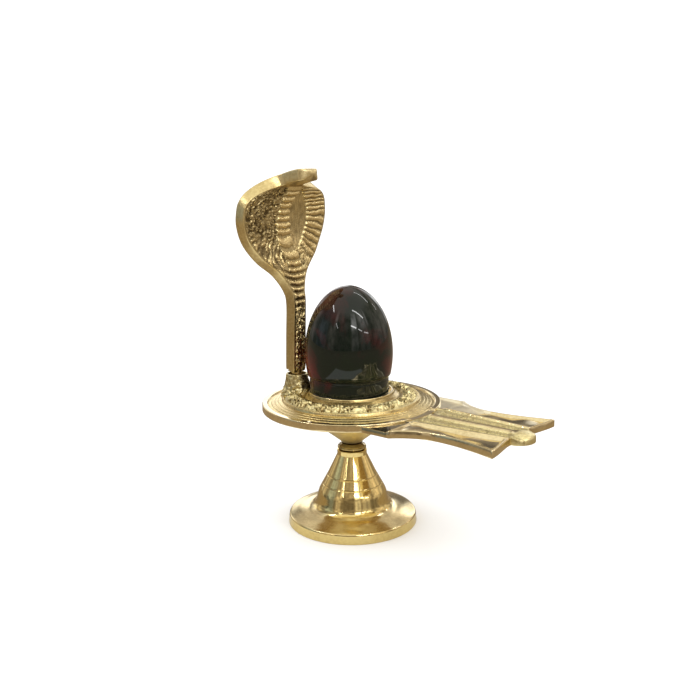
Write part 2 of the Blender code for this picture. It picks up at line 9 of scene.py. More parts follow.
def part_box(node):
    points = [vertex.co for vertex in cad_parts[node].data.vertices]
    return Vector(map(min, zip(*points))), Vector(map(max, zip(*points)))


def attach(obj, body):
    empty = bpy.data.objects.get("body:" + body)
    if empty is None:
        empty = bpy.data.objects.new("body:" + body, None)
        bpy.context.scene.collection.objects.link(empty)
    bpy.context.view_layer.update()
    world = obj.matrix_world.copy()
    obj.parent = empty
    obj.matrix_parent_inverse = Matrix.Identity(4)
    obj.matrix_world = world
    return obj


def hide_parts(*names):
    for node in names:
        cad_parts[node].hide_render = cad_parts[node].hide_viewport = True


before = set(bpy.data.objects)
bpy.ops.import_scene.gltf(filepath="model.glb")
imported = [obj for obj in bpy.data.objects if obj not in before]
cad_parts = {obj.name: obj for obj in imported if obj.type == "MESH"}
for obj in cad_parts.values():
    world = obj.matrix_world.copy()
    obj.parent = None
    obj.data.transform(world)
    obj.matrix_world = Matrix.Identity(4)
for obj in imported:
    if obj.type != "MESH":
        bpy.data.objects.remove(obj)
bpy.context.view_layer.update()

# The foot
# A turned brass bell on a round flange, hollow underneath, polished on the lathe until it mirrors the room.
# Two fine lines are cut round the bell, and a lip and a small bead carry the plate's boss.
MM = 0.001
foot_low, foot_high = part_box("foot")
AXIS_X = (foot_low.x + foot_high.x) / 2
FOOT_RADIUS = foot_high.y
FOOT_TOP = foot_high.z
TURNED_SEGMENTS = 288
PLAIN_STEP = 1.4 * MM
FLANGE_FLARE = 0.5 * MM
FLANGE_WALL = 4.6 * MM
BELL_BASE = 7.8 * MM
BELL_RADIUS = 17.5 * MM
BELL_SHOULDER = 15.84 * MM
BELL_SHOULDER_Z = 15.6 * MM
LIP_RADIUS = 7.0 * MM
BELL_WAIST = 11.3 * MM
BELL_WAIST_Z = 24.0 * MM
LIP_Z = 33.0 * MM
NECK_Z = 35.3 * MM
NECK_RADIUS = 4.9 * MM
BEAD_RADIUS = 6.8 * MM
BEAD_HALF_HEIGHT = 1.1 * MM
NECK_BORE = 3.2 * MM
BELL_WALL = 2.1 * MM
RING_WIDTH = 2.6 * MM
BELL_LINES = (23.1 * MM, 18.9 * MM)
LINE_DEPTH = 0.10 * MM
LINE_WIDTH = 0.24 * MM


def smooth_step(value, low, high):
    share = min(max((value - low) / (high - low), 0), 1)
    return share * share * (3 - 2 * share)


def rounded(corners, steps):
    """A profile of (radius, height) points with an arc at each (radius, height, rounding) corner."""
    points = []
    count = len(corners)
    for i, (r, z, rounding) in enumerate(corners):
        if rounding == 0 or i in (0, count - 1):
            points.append((r, z))
            continue
        here = np.array([r, z])
        back = np.array(corners[i - 1][:2]) - here
        ahead = np.array(corners[i + 1][:2]) - here
        back_length, ahead_length = np.linalg.norm(back), np.linalg.norm(ahead)
        back, ahead = back / back_length, ahead / ahead_length
        half = math.acos(max(-1, min(1, back @ ahead))) / 2
        if half > math.radians(88):
            points.append((r, z))
            continue
        reach = min(rounding / math.tan(half), back_length * 0.48, ahead_length * 0.48)
        for share in np.linspace(0, 1, steps + 1):
            a, b = here + back * reach, here + ahead * reach
            point = a * (1 - share) ** 2 + here * 2 * share * (1 - share) + b * share ** 2
            points.append((point[0], point[1]))
    return points


def densified(profile, spacing, is_plain=None):
    """The same profile with no step longer than the spacing, or than PLAIN_STEP where it is plain."""
    points = [profile[0]]
    for (r0, z0), (r1, z1) in zip(profile, profile[1:]):
        longest = PLAIN_STEP if is_plain and is_plain(r0, z0) and is_plain(r1, z1) else spacing
        steps = max(1, math.ceil(math.hypot(r1 - r0, z1 - z0) / longest))
        for step in range(1, steps + 1):
            share = step / steps
            points.append((r0 + (r1 - r0) * share, z0 + (z1 - z0) * share))
    return points


def mesh_piece(name, points, faces, sharp_degrees=32):
    """A mesh object with its faces turned outwards and smooth, with sharp edges kept."""
    mesh = bpy.data.meshes.new(name)
    mesh.from_pydata([tuple(point) for point in points], [], faces)
    mesh.validate()
    if len(faces) > 1:
        solid = bmesh.new()
        solid.from_mesh(mesh)
        bmesh.ops.recalc_face_normals(solid, faces=solid.faces)
        solid.to_mesh(mesh)
        solid.free()
    piece = bpy.data.objects.new(name, mesh)
    bpy.context.scene.collection.objects.link(piece)
    mesh.polygons.foreach_set("use_smooth", [True] * len(mesh.polygons))
    mesh.set_sharp_from_angle(angle=math.radians(sharp_degrees))
    return piece


def lathe(name, profile, segments, closed=False, center=(0, 0), shift=None, sharp_degrees=32):
    """Turns a profile, given down its outer side, around an upright axis at center from the foot's axis."""
    angles = np.arange(segments) * (math.tau / segments)
    points, rows = [], []
    for r, z in profile:
        if r < 1e-7:
            rows.append([len(points)] * segments)
            points.append((AXIS_X + center[0], center[1], z))
            continue
        rows.append(list(range(len(points), len(points) + segments)))
        for angle in angles:
            radius, height = (r, z) if shift is None else shift(r, z, angle)
            x = AXIS_X + center[0] + radius * math.cos(angle)
            points.append((x, center[1] + radius * math.sin(angle), height))
    pairs = list(zip(rows, rows[1:]))
    if closed:
        pairs.append((rows[-1], rows[0]))
    faces = []
    for upper, lower in pairs:
        for i in range(segments):
            j = (i + 1) % segments
            corners = [upper[i], lower[i], lower[j], upper[j]]
            face = list(dict.fromkeys(corners))
            if len(face) > 2:
                faces.append(face)
    return mesh_piece(name, points, faces, sharp_degrees)


def bell_profile():
    bead_z = NECK_Z + BEAD_HALF_HEIGHT + 0.1 * MM
    bead_out = BEAD_RADIUS - NECK_RADIUS
    corners = [(NECK_BORE, FOOT_TOP, 0), (NECK_RADIUS, FOOT_TOP, 0)]
    for share in np.linspace(0.1, 0.9, 9):
        swell = math.sin(math.pi * share)
        height = bead_z + BEAD_HALF_HEIGHT * math.cos(math.pi * share)
        corners.append((NECK_RADIUS + bead_out * swell ** 0.6, height, 0))
    corners += [
        (NECK_RADIUS, NECK_Z, 0.1 * MM),
        (LIP_RADIUS, NECK_Z, 0.3 * MM),
        (LIP_RADIUS, LIP_Z, 0.4 * MM),
        (BELL_WAIST, BELL_WAIST_Z, 30 * MM),
        (BELL_SHOULDER, BELL_SHOULDER_Z, 14 * MM),
        (BELL_RADIUS + 0.4 * MM, BELL_BASE + 0.1 * MM, 5.5 * MM),
        (FOOT_RADIUS - 5.5 * MM, BELL_BASE - 1.7 * MM, 8 * MM),
        (FOOT_RADIUS - FLANGE_FLARE, FLANGE_WALL, 1.1 * MM),
        (FOOT_RADIUS, 0.3 * MM, 0.2 * MM),
        (FOOT_RADIUS - 0.3 * MM, 0, 0),
        (FOOT_RADIUS - RING_WIDTH, 0, 0.2 * MM),
        (FOOT_RADIUS - RING_WIDTH, 1.8 * MM, 0.5 * MM),
        (BELL_RADIUS - BELL_WALL, BELL_BASE - BELL_WALL, 1.0 * MM),
        (BELL_SHOULDER - BELL_WALL, BELL_SHOULDER_Z, 3 * MM),
        (NECK_BORE + 1.05 * MM, LIP_Z - BELL_WALL, 0.5 * MM),
        (NECK_BORE, LIP_Z, 0),
    ]
    return densified(rounded(corners, 7), 0.7 * MM)


def under_the_bell(r, z):
    """Whether a place of the profile belongs to the hollow underside."""
    side = LIP_RADIUS + (LIP_Z - z) / (LIP_Z - BELL_SHOULDER_Z) * (BELL_SHOULDER - LIP_RADIUS)
    return z < LIP_Z - 0.5 * MM and r < min(side, BELL_RADIUS) - BELL_WALL * 0.5


def shape_foot(r, z, angle):
    """Cuts the two fine lines round the bell, and gives the flange the buff's slight waves."""
    if r > BELL_RADIUS + 1.5 * MM and z > 3 * MM:
        wave = noise.noise(Vector((math.cos(angle) * 2.2, math.sin(angle) * 2.2, r / MM * 0.22)))
        return r, z + 0.19 * MM * wave * smooth_step(FOOT_RADIUS - r, 0.5 * MM, 3 * MM)
    if under_the_bell(r, z):
        return r, z
    cut = sum(math.exp(-((z - line) / LINE_WIDTH) ** 2) for line in BELL_LINES)
    return r - LINE_DEPTH * cut, z


def with_lines(profile):
    """Extra points round each line, on the bell's outer side."""
    points = []
    for (r0, z0), (r1, z1) in zip(profile, profile[1:]):
        points.append((r0, z0))
        for line in BELL_LINES:
            if z1 < line + 1.2 * MM and z0 > line - 1.2 * MM and r1 > r0:
                for share in (0.2, 0.4, 0.6, 0.8):
                    points.append((r0 + (r1 - r0) * share, z0 + (z1 - z0) * share))
                break
    points.append(profile[-1])
    return points


def new_group(name, inputs, outputs):
    """An empty shader node group. An input is (name, socket type, default value)."""
    group = bpy.data.node_groups.new(name, "ShaderNodeTree")
    for socket_name, kind, value in inputs:
        socket = group.interface.new_socket(name=socket_name, in_out="INPUT", socket_type=kind)
        socket.default_value = value
    for socket_name, kind in outputs:
        group.interface.new_socket(name=socket_name, in_out="OUTPUT", socket_type=kind)
    return group, group.nodes.new("NodeGroupInput"), group.nodes.new("NodeGroupOutput")


def feed(tree, made, values):
    """Gives each named input of a node a plain value, or a link from another node's output."""
    for key, value in values.items():
        if isinstance(value, bpy.types.NodeSocket):
            tree.links.new(value, made.inputs[key])
        else:
            made.inputs[key].default_value = value


def node(tree, kind, values=None, **settings):
    """A node with its settings, and with the inputs that values names fed."""
    made = tree.nodes.new(kind)
    for key, value in settings.items():
        setattr(made, key, value)
    feed(tree, made, values or {})
    return made


def maths(tree, operation, *values):
    """The output of a math node whose inputs are the values, in order."""
    return node(tree, "ShaderNodeMath", dict(enumerate(values)), operation=operation).outputs[0]


def vector_maths(tree, operation, *values):
    """The outputs of a vector math node whose inputs are the values, in order."""
    return node(tree, "ShaderNodeVectorMath", dict(enumerate(values)), operation=operation).outputs


def mapped(tree, value, low, high, to_low=0.0, to_high=1.0, **settings):
    """A value taken from the range low to high into the range to_low to to_high."""
    ranges = {"Value": value, "From Min": low, "From Max": high, "To Min": to_low, "To Max": to_high}
    return node(tree, "ShaderNodeMapRange", ranges, **settings).outputs["Result"]


def blended(tree, share, first, second):
    """A blend of two colours, where a share of 0 gives the first."""
    values = {"Factor": share, "A": first, "B": second}
    return node(tree, "ShaderNodeMix", values, data_type="RGBA").outputs["Result"]


def noise_texture(tree, place, scale, detail, roughness=0.5, distortion=0.0):
    """The value of a noise at a place."""
    values = {"Vector": place, "Scale": scale, "Detail": detail, "Roughness": roughness}
    return node(tree, "ShaderNodeTexNoise", {**values, "Distortion": distortion}).outputs["Fac"]


def new_material(name):
    """A material, its node tree and its Principled shader."""
    material = bpy.data.materials.new(name)
    material.use_nodes = True
    return material, material.node_tree, material.node_tree.nodes["Principled BSDF"]


def tarnish_group():
    """Broad patches and small spots where handling has browned the metal."""
    group, given, out = new_group(
        "Handling tarnish",
        [
            ("Bright", "NodeSocketColor", (1, 1, 1, 1)), ("Brown", "NodeSocketColor", (0.3, 0.2, 0.1, 1)),
            ("Patch scale", "NodeSocketFloat", 60.0), ("Amount", "NodeSocketFloat", 0.4),
        ],
        [("Color", "NodeSocketColor")],
    )
    place = node(group, "ShaderNodeTexCoord").outputs["Object"]
    patches = noise_texture(group, place, given.outputs["Patch scale"], 5.0, 0.6)
    spots = noise_texture(group, place, 900.0, 3.0)
    spread = mapped(group, maths(group, "MULTIPLY", patches, spots), 0.16, 0.38)
    strength = maths(group, "MULTIPLY", spread, given.outputs["Amount"])
    feed(group, out, {"Color": blended(group, strength, given.outputs["Bright"], given.outputs["Brown"])})
    return group


def lathe_marks_group():
    """Fine rings of uneven depth that the lathe and the buff leave round the foot's axis."""
    group, given, out = new_group(
        "Lathe marks",
        [("Axis", "NodeSocketVector", (0, 0, 0)), ("Pitch", "NodeSocketFloat", 2500.0)],
        [("Height", "NodeSocketFloat")],
    )
    place = node(group, "ShaderNodeTexCoord").outputs["Object"]
    offset = vector_maths(group, "SUBTRACT", place, given.outputs["Axis"])["Vector"]
    flat = vector_maths(group, "MULTIPLY", offset, (1, 1, 0))["Vector"]
    radius = vector_maths(group, "LENGTH", flat)["Value"]
    height = node(group, "ShaderNodeSeparateXYZ", {0: offset}).outputs["Z"]
    along = node(group, "ShaderNodeCombineXYZ", {"X": radius, "Y": height}).outputs[0]
    feed(group, out, {"Height": noise_texture(group, along, given.outputs["Pitch"], 4.0, 0.7)})
    return group


TARNISH = tarnish_group()
LATHE_MARKS = lathe_marks_group()


def brass(name, bright, brown, grime_and_shade, roughness, grain=0.03, marks=0.0, patch=120.0, amount=0.5):
    """Brass that is bright where it is rubbed, browned in patches, and dark where the crown is low: soiled
    pits in places, painted shade in others.
    """
    material, tree, shader = new_material(name)
    tones = {"Bright": (*bright, 1), "Brown": (*brown, 1), "Patch scale": patch, "Amount": amount}
    tone = node(tree, "ShaderNodeGroup", tones, node_tree=TARNISH).outputs["Color"]
    crown = node(tree, "ShaderNodeAttribute", attribute_name="crown").outputs["Fac"]
    # A low crown pulls the colour towards the dark one: soiled pits, and painted shade where the crown is
    # set low for shade.
    dirt_and_shade = mapped(tree, crown, 0.0, 0.75, 1.0, 0.0)
    sand = noise_texture(tree, node(tree, "ShaderNodeTexCoord").outputs["Object"], 2600.0, 3.0, 0.65)
    turning = {"Axis": (AXIS_X, 0, 0), "Pitch": 1800.0}
    rings = node(tree, "ShaderNodeGroup", turning, node_tree=LATHE_MARKS).outputs["Height"]
    grained = node(tree, "ShaderNodeBump", {"Strength": grain, "Distance": 0.0003, "Height": sand})
    marked = node(tree, "ShaderNodeBump", {
        "Strength": marks, "Distance": 0.0002, "Height": rings, "Normal": grained.outputs["Normal"],
    })
    feed(tree, shader, {
        "Metallic": 1.0,
        "Base Color": blended(tree, dirt_and_shade, tone, (*grime_and_shade, 1)),
        "Roughness": mapped(tree, sand, 0.0, 1.0, *roughness),
        "Normal": marked.outputs["Normal"],
    })
    return material


def set_crown(piece, values):
    """Stores how clean each point is, and in places painted shade: 0 in a soiled pit or under painted shade,
    1 where hands rub a crest.
    """
    crown = piece.data.attributes.new("crown", "FLOAT", "POINT")
    crown.data.foreach_set("value", values)


def keep_crown(piece, measure):
    """Stores as each point's crown what measure says of its place."""
    set_crown(piece, [measure(vertex.co) for vertex in piece.data.vertices])


def bell_crown(place):
    """Painted shadow of the boss darkens the neck and the bead between the lip and the boss, and the lip's
    top is kept light; the inside under the bell is darker.
    """
    r = math.hypot(place.x - AXIS_X, place.y)
    # Painted shadow of the boss on the neck and the bead.
    if place.z > NECK_Z - 0.1 * MM:
        on_lip = smooth_step(NECK_Z + 0.3 * MM - place.z, 0, 0.3 * MM) * smooth_step(r, 5.4 * MM, 6.2 * MM)
        return 0.14 + 0.18 * smooth_step(r, NECK_RADIUS + 0.6 * MM, BEAD_RADIUS) + 0.5 * on_lip
    # Darker inside the hollow under the bell.
    if under_the_bell(r, place.z):
        return 0.3
    return 0.85


def split_finish(piece, choose, materials):
    """Gives each face the material that choose picks from the face's middle."""
    for material in materials:
        piece.data.materials.append(material)
    for polygon in piece.data.polygons:
        polygon.material_index = choose(polygon.center)


def foot_finish(middle):
    """The flange's top is duller than the bell."""
    on_flange = math.hypot(middle.x - AXIS_X, middle.y) > BELL_RADIUS + 1.2 * MM
    return 1 if on_flange and middle.z > FLANGE_WALL - 0.2 * MM else 0


TURNED = brass(
    "turned_brass", (0.91, 0.72, 0.31), (0.58, 0.40, 0.14), (0.10, 0.065, 0.025), (0.03, 0.12),
    grain=0.01, marks=0.06, patch=55.0, amount=0.45,
)
FLANGE_TOP = brass(
    "flange_brass", (0.95, 0.81, 0.46), (0.70, 0.50, 0.24), (0.10, 0.065, 0.025), (0.09, 0.22),
    grain=0.02, marks=0.06, patch=55.0, amount=0.45,
)
bell = lathe("turned_foot", with_lines(bell_profile()), TURNED_SEGMENTS, closed=True, shift=shape_foot)
keep_crown(bell, bell_crown)
split_finish(bell, foot_finish, (TURNED, FLANGE_TOP))
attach(bell, "root")
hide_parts("foot")

# The yoni plate
# One brass casting: a round dish with a polished rim, turned steps, a chased band and a holder ring.
# Its boss and spigot stand in the foot, and its rim opens towards the spout.
plate_low, plate_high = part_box("yoni_plate")
PLATE_RADIUS = plate_high.y
RIM_TOP = 59.1 * MM
RIM_HEIGHT = 3.4 * MM
RIM_LIP_WIDTH = 3.0 * MM
BOSS_Z = FOOT_TOP + 0.3 * MM
BOSS_EDGE_Z = BOSS_Z + 1.1 * MM
BOSS_RADIUS = 5.6 * MM
BOSS_NECK_RADIUS = 4.7 * MM
BOSS_SPREAD = 26.0 * MM
SPIGOT_RADIUS = 2.9 * MM
DISH_Z = RIM_TOP - 0.8 * MM
UNDERSIDE_Z = RIM_TOP - RIM_HEIGHT
TOP_SIDE = RIM_TOP - 1.6 * MM
MOUTH_DEPTH = 0.85 * MM
TURNED_RISE = 2.6 * MM
TURNED_STEPS = (
    (32.3, 1.75), (33.9, 1.5), (34.1, 1.3), (35.4, 1.05), (35.6, 0.85), (37.0, 0.55), (37.2, 0.35),
    (38.3, 0.2),
)
RELIEF_OUTER = 31.1 * MM
RELIEF_INNER = 24.2 * MM
RELIEF_Z = DISH_Z + TURNED_RISE
RELIEF_DEPTH = 1.45 * MM
SCALLOP = 0.75 * MM
RELIEF_LOBES = 18
BAND_BEAD_HALF_WIDTH = 0.45 * MM
BAND_BEAD_RISE = 0.35 * MM
HOLDER_RADIUS = 19.8 * MM
HOLDER_WALL = 1.1 * MM
HOLDER_TOP = RELIEF_Z + 3.2 * MM
HOLDER_FLOOR = HOLDER_TOP - 1.8 * MM
MOUTH_HALF_WIDTH = 10.5 * MM
PLATE_SEGMENTS = 400


def dish_corners():
    lip_in = PLATE_RADIUS - RIM_LIP_WIDTH
    corners = [
        (0, HOLDER_FLOOR, 0),
        (HOLDER_RADIUS - HOLDER_WALL, HOLDER_FLOOR, 0.1 * MM),
        (HOLDER_RADIUS - HOLDER_WALL, HOLDER_TOP, 0.4 * MM),
        (HOLDER_RADIUS, HOLDER_TOP, 0.3 * MM),
        (HOLDER_RADIUS + 0.4 * MM, HOLDER_TOP - 1.0 * MM, 0.3 * MM),
        (HOLDER_RADIUS + 2.4 * MM, RELIEF_Z + 1.0 * MM, 1.5 * MM),
        (RELIEF_INNER, RELIEF_Z + 0.6 * MM, 0.3 * MM),
        (RELIEF_INNER + 0.8 * MM, RELIEF_Z + 1.7 * MM, 0.5 * MM),
        (RELIEF_INNER + 2.4 * MM, RELIEF_Z + 2.0 * MM, 1.5 * MM),
        (RELIEF_INNER + 4.6 * MM, RELIEF_Z + 1.5 * MM, 2.5 * MM),
        (RELIEF_OUTER - 0.7 * MM, RELIEF_Z + 0.3 * MM, 0.5 * MM),
        (RELIEF_OUTER - 0.1 * MM, RELIEF_Z - 0.1 * MM, 0.1 * MM),
    ]
    for share in np.linspace(0.1, 0.9, 7):
        around = math.pi * share
        radius = RELIEF_OUTER + BAND_BEAD_HALF_WIDTH - BAND_BEAD_HALF_WIDTH * math.cos(around)
        corners.append((radius, RELIEF_Z + BAND_BEAD_RISE * math.sin(around), 0))
    for radius, rise in TURNED_STEPS:
        corners.append((radius * MM, DISH_Z + rise * MM, 0.15 * MM))
    corners += [
        (lip_in + 0.1 * MM, RIM_TOP - 0.7 * MM, 0.1 * MM),
        (lip_in + 0.5 * MM, RIM_TOP - 0.02 * MM, 0.3 * MM),
        (PLATE_RADIUS - 0.1 * MM, RIM_TOP - 0.1 * MM, 0.5 * MM),
        (PLATE_RADIUS, UNDERSIDE_Z, 0.4 * MM),
    ]
    for step in range(13):
        share = step / 12
        radius = BOSS_RADIUS + (BOSS_SPREAD - BOSS_RADIUS) * (1 - share)
        corners.append((radius, UNDERSIDE_Z - (UNDERSIDE_Z - BOSS_EDGE_Z) * share, 0.3 * MM))
    corners += [(BOSS_NECK_RADIUS, BOSS_Z, 0.1 * MM), (SPIGOT_RADIUS, BOSS_Z, 0)]
    corners += [(SPIGOT_RADIUS, plate_low.z, 0.2 * MM), (0, plate_low.z, 0)]
    return corners


# Blender takes the seed of its noise vectors from the clock, unless it is set.
CHASING_SEED = 5
noise.seed_set(CHASING_SEED)


def crests(place):
    """Chased metal: crooked crests between pits, from 0 in a pit to 1 on a crest."""
    warp = noise.noise_vector(place * 0.55) * 0.8
    broad = 1 - abs(noise.noise(place * 0.62 + warp)) * 2.6
    small = 1 - abs(noise.noise(place * 1.35 - warp)) * 2.4
    return max(0.0, min(1.0, 0.62 * broad + 0.38 * small))


def relief(r, angle):
    """How far the chasing lowers or raises the band at a place, in metres."""
    place = Vector((r * math.cos(angle), r * math.sin(angle), 0)) / MM
    leaf = 0.5 + 0.5 * math.cos(RELIEF_LOBES * angle + 0.35 * (r / MM - 24) + noise.noise(place * 0.2) * 1.5)
    weight = smooth_step(r, RELIEF_INNER + 0.3 * MM, RELIEF_INNER + 1.2 * MM)
    weight *= 1 - smooth_step(r, RELIEF_OUTER - 1.2 * MM, RELIEF_OUTER - 0.5 * MM)
    fine = noise.noise(place * 3.2) * 0.20
    return RELIEF_DEPTH * weight * (crests(place * 0.95) + 0.4 * leaf + fine - 0.7)


def shape_dish(r, z, angle):
    """Chases the band, scallops its inner edge, and opens the rim towards the spout."""
    height = z
    on_top = z > TOP_SIDE
    if on_top and RELIEF_INNER < r < RELIEF_OUTER:
        height += relief(r, angle)
    radius = r
    if on_top and RELIEF_INNER - 0.5 * MM < r < RELIEF_INNER + 3 * MM:
        near_edge = smooth_step(r, RELIEF_INNER - 0.5 * MM, RELIEF_INNER)
        near_edge *= 1 - smooth_step(r, RELIEF_INNER + 1.2 * MM, RELIEF_INNER + 3 * MM)
        radius += SCALLOP * near_edge * (1 - 2 * abs(math.sin(RELIEF_LOBES * angle / 2)))
    if on_top and r > PLATE_RADIUS - RIM_LIP_WIDTH - 0.3 * MM and math.cos(angle) > 0:
        across = abs(r * math.sin(angle))
        opening = 1 - smooth_step(across, MOUTH_HALF_WIDTH - 2.2 * MM, MOUTH_HALF_WIDTH)
        height = min(height, height - (height - (RIM_TOP - MOUTH_DEPTH)) * opening)
    return radius, height


def dish_crown(place):
    """Dirt lies in the chasing's pits. The metal is darker beside the holder ring, and painted shade darkens
    the boss's neck between the plate and the foot.
    """
    x, y = place.x - AXIS_X, place.y
    r = math.hypot(x, y)
    # Painted shade on the boss's neck, under the plate.
    if place.z < BOSS_EDGE_Z - 0.1 * MM:
        return 0.1
    # Darker beside the holder ring.
    if place.z > RIM_TOP and HOLDER_RADIUS + 0.2 * MM < r <= RELIEF_INNER - 0.3 * MM:
        return 0.24 + 0.25 * noise.noise(place / MM * 0.9)
    if place.z < TOP_SIDE or not RELIEF_INNER - 0.3 * MM < r < RELIEF_OUTER - 0.4 * MM:
        return 0.85
    return min(max(0.45 + relief(r, math.atan2(y, x)) / (RELIEF_DEPTH * 0.6), 0), 1)


CHASED = brass(
    "chased_brass", (0.97, 0.86, 0.47), (0.70, 0.53, 0.21), (0.20, 0.125, 0.035), (0.20, 0.38), grain=0.45,
)
BRUSHED = brass(
    "brushed_brass", (0.84, 0.68, 0.33), (0.50, 0.36, 0.14), (0.28, 0.19, 0.06), (0.18, 0.34),
    grain=0.05, marks=0.32, amount=0.65,
)
UNDERSIDE = brass(
    "underside_brass", (0.98, 0.88, 0.56), (0.80, 0.66, 0.36), (0.28, 0.19, 0.06), (0.32, 0.46),
    grain=0.05, marks=0.32, amount=0.4,
)
POLISHED = brass(
    "rubbed_brass", (0.92, 0.78, 0.47), (0.58, 0.43, 0.22), (0.16, 0.12, 0.05), (0.03, 0.12), marks=0.03,
)


def dish_finish(middle):
    radius = math.hypot(middle.x - AXIS_X, middle.y)
    if middle.z < UNDERSIDE_Z - 0.2 * MM:
        return 3
    if HOLDER_RADIUS < radius < RELIEF_INNER - 0.4 * MM:
        return 1
    if middle.z < TOP_SIDE or radius < HOLDER_RADIUS:
        return 2
    if radius < RELIEF_OUTER - 0.2 * MM:
        return 0
    return 1 if radius < PLATE_RADIUS - RIM_LIP_WIDTH + 0.2 * MM else 2


def is_plain_dish(r, z):
    """Whether a place of the profile is on the holder's floor or underneath, where nothing is chased."""
    return r < HOLDER_RADIUS or z < RIM_TOP - 1.0 * MM


dish_profile = densified(rounded(dish_corners(), 4), 0.5 * MM, is_plain_dish)
dish = lathe("yoni_dish", dish_profile, PLATE_SEGMENTS, shift=shape_dish, sharp_degrees=50)
split_finish(dish, dish_finish, (CHASED, BRUSHED, POLISHED, UNDERSIDE))
keep_crown(dish, dish_crown)
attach(dish, "root")
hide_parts("yoni_plate")

# The spout
# Part of the same casting: square shoulders under the rim, sides drawn in, and a fishtail end.
# Raised lines edge its polished wings and its rough channel, which ends in a rounded tongue.
SPOUT_ROOT = 27 * MM
SHOULDER_HALF_WIDTH = 29.5 * MM
SHOULDER_END = 43.2 * MM
WAIST_HALF_WIDTH = 21.4 * MM
WAIST_PLACE = 63.5 * MM
TAIL_END = 89.7 * MM
TAIL_HALF_WIDTH = 26.5 * MM
TAIL_NOTCH = 2.4 * MM
TONGUE_TIP = plate_high.x - AXIS_X
TONGUE_HALF_WIDTH = 7.2 * MM
SPOUT_TOP = RIM_TOP
SPOUT_UNDERSIDE = RIM_TOP - 3.3 * MM
WING_BORDER = 1.2 * MM
CHANNEL_START = 12.9 * MM
CHANNEL_END = 8.6 * MM
EDGE_ROUNDING = 0.5 * MM
WING_DEPTH, WING_WAVE = 1.05 * MM, 0.75 * MM
FACET_DEPTH = 0.9 * MM
CHANNEL_DEPTH = 0.65 * MM
UNDER_RIM_DEPTH = 0.35 * MM
BORDER_RIDGE, SIDE_RIDGE = 0.30 * MM, 0.55 * MM
RIDGE_HALF_WIDTH = 0.8 * MM
DRAIN_X, DRAIN_Y, DRAIN_DEPTH = 40 * MM, 4.5 * MM, 0.7 * MM
NOSE_DROP = 1.7 * MM
SPOUT_COLUMNS, SPOUT_ROWS = 190, 210


def spout_half_width(x):
    if x <= SHOULDER_END:
        return SHOULDER_HALF_WIDTH
    if x <= WAIST_PLACE:
        share = (WAIST_PLACE - x) / (WAIST_PLACE - SHOULDER_END)
        return WAIST_HALF_WIDTH + (SHOULDER_HALF_WIDTH - WAIST_HALF_WIDTH) * share ** 2.4
    share = min((x - WAIST_PLACE) / (TAIL_END - WAIST_PLACE), 1)
    return WAIST_HALF_WIDTH + (TAIL_HALF_WIDTH - WAIST_HALF_WIDTH) * share ** 1.7


def spout_end(across):
    """Where the spout ends, at a share from -1 to 1 across it: two tips, two notches and the tongue."""
    y = abs(across) * TAIL_HALF_WIDTH
    tail = TAIL_END - TAIL_NOTCH * (1 - smooth_step(y, 9 * MM, TAIL_HALF_WIDTH) ** 0.8)
    if y >= TONGUE_HALF_WIDTH:
        return tail
    nose = math.sqrt(max(1 - (y / TONGUE_HALF_WIDTH) ** 2, 0))
    return TAIL_END - TAIL_NOTCH + (TONGUE_TIP - TAIL_END + TAIL_NOTCH) * nose


def channel_half_width(x):
    share = min(max((TAIL_END - x) / (TAIL_END - SHOULDER_END), 0), 1)
    return CHANNEL_END + (CHANNEL_START - CHANNEL_END) * share ** 0.9


def ridge(offset, half_width):
    """A rounded ridge's height, from 1 on its crown to 0 at its half width."""
    share = abs(offset) / half_width
    return math.cos(share * math.pi / 2) if share < 1 else 0.0


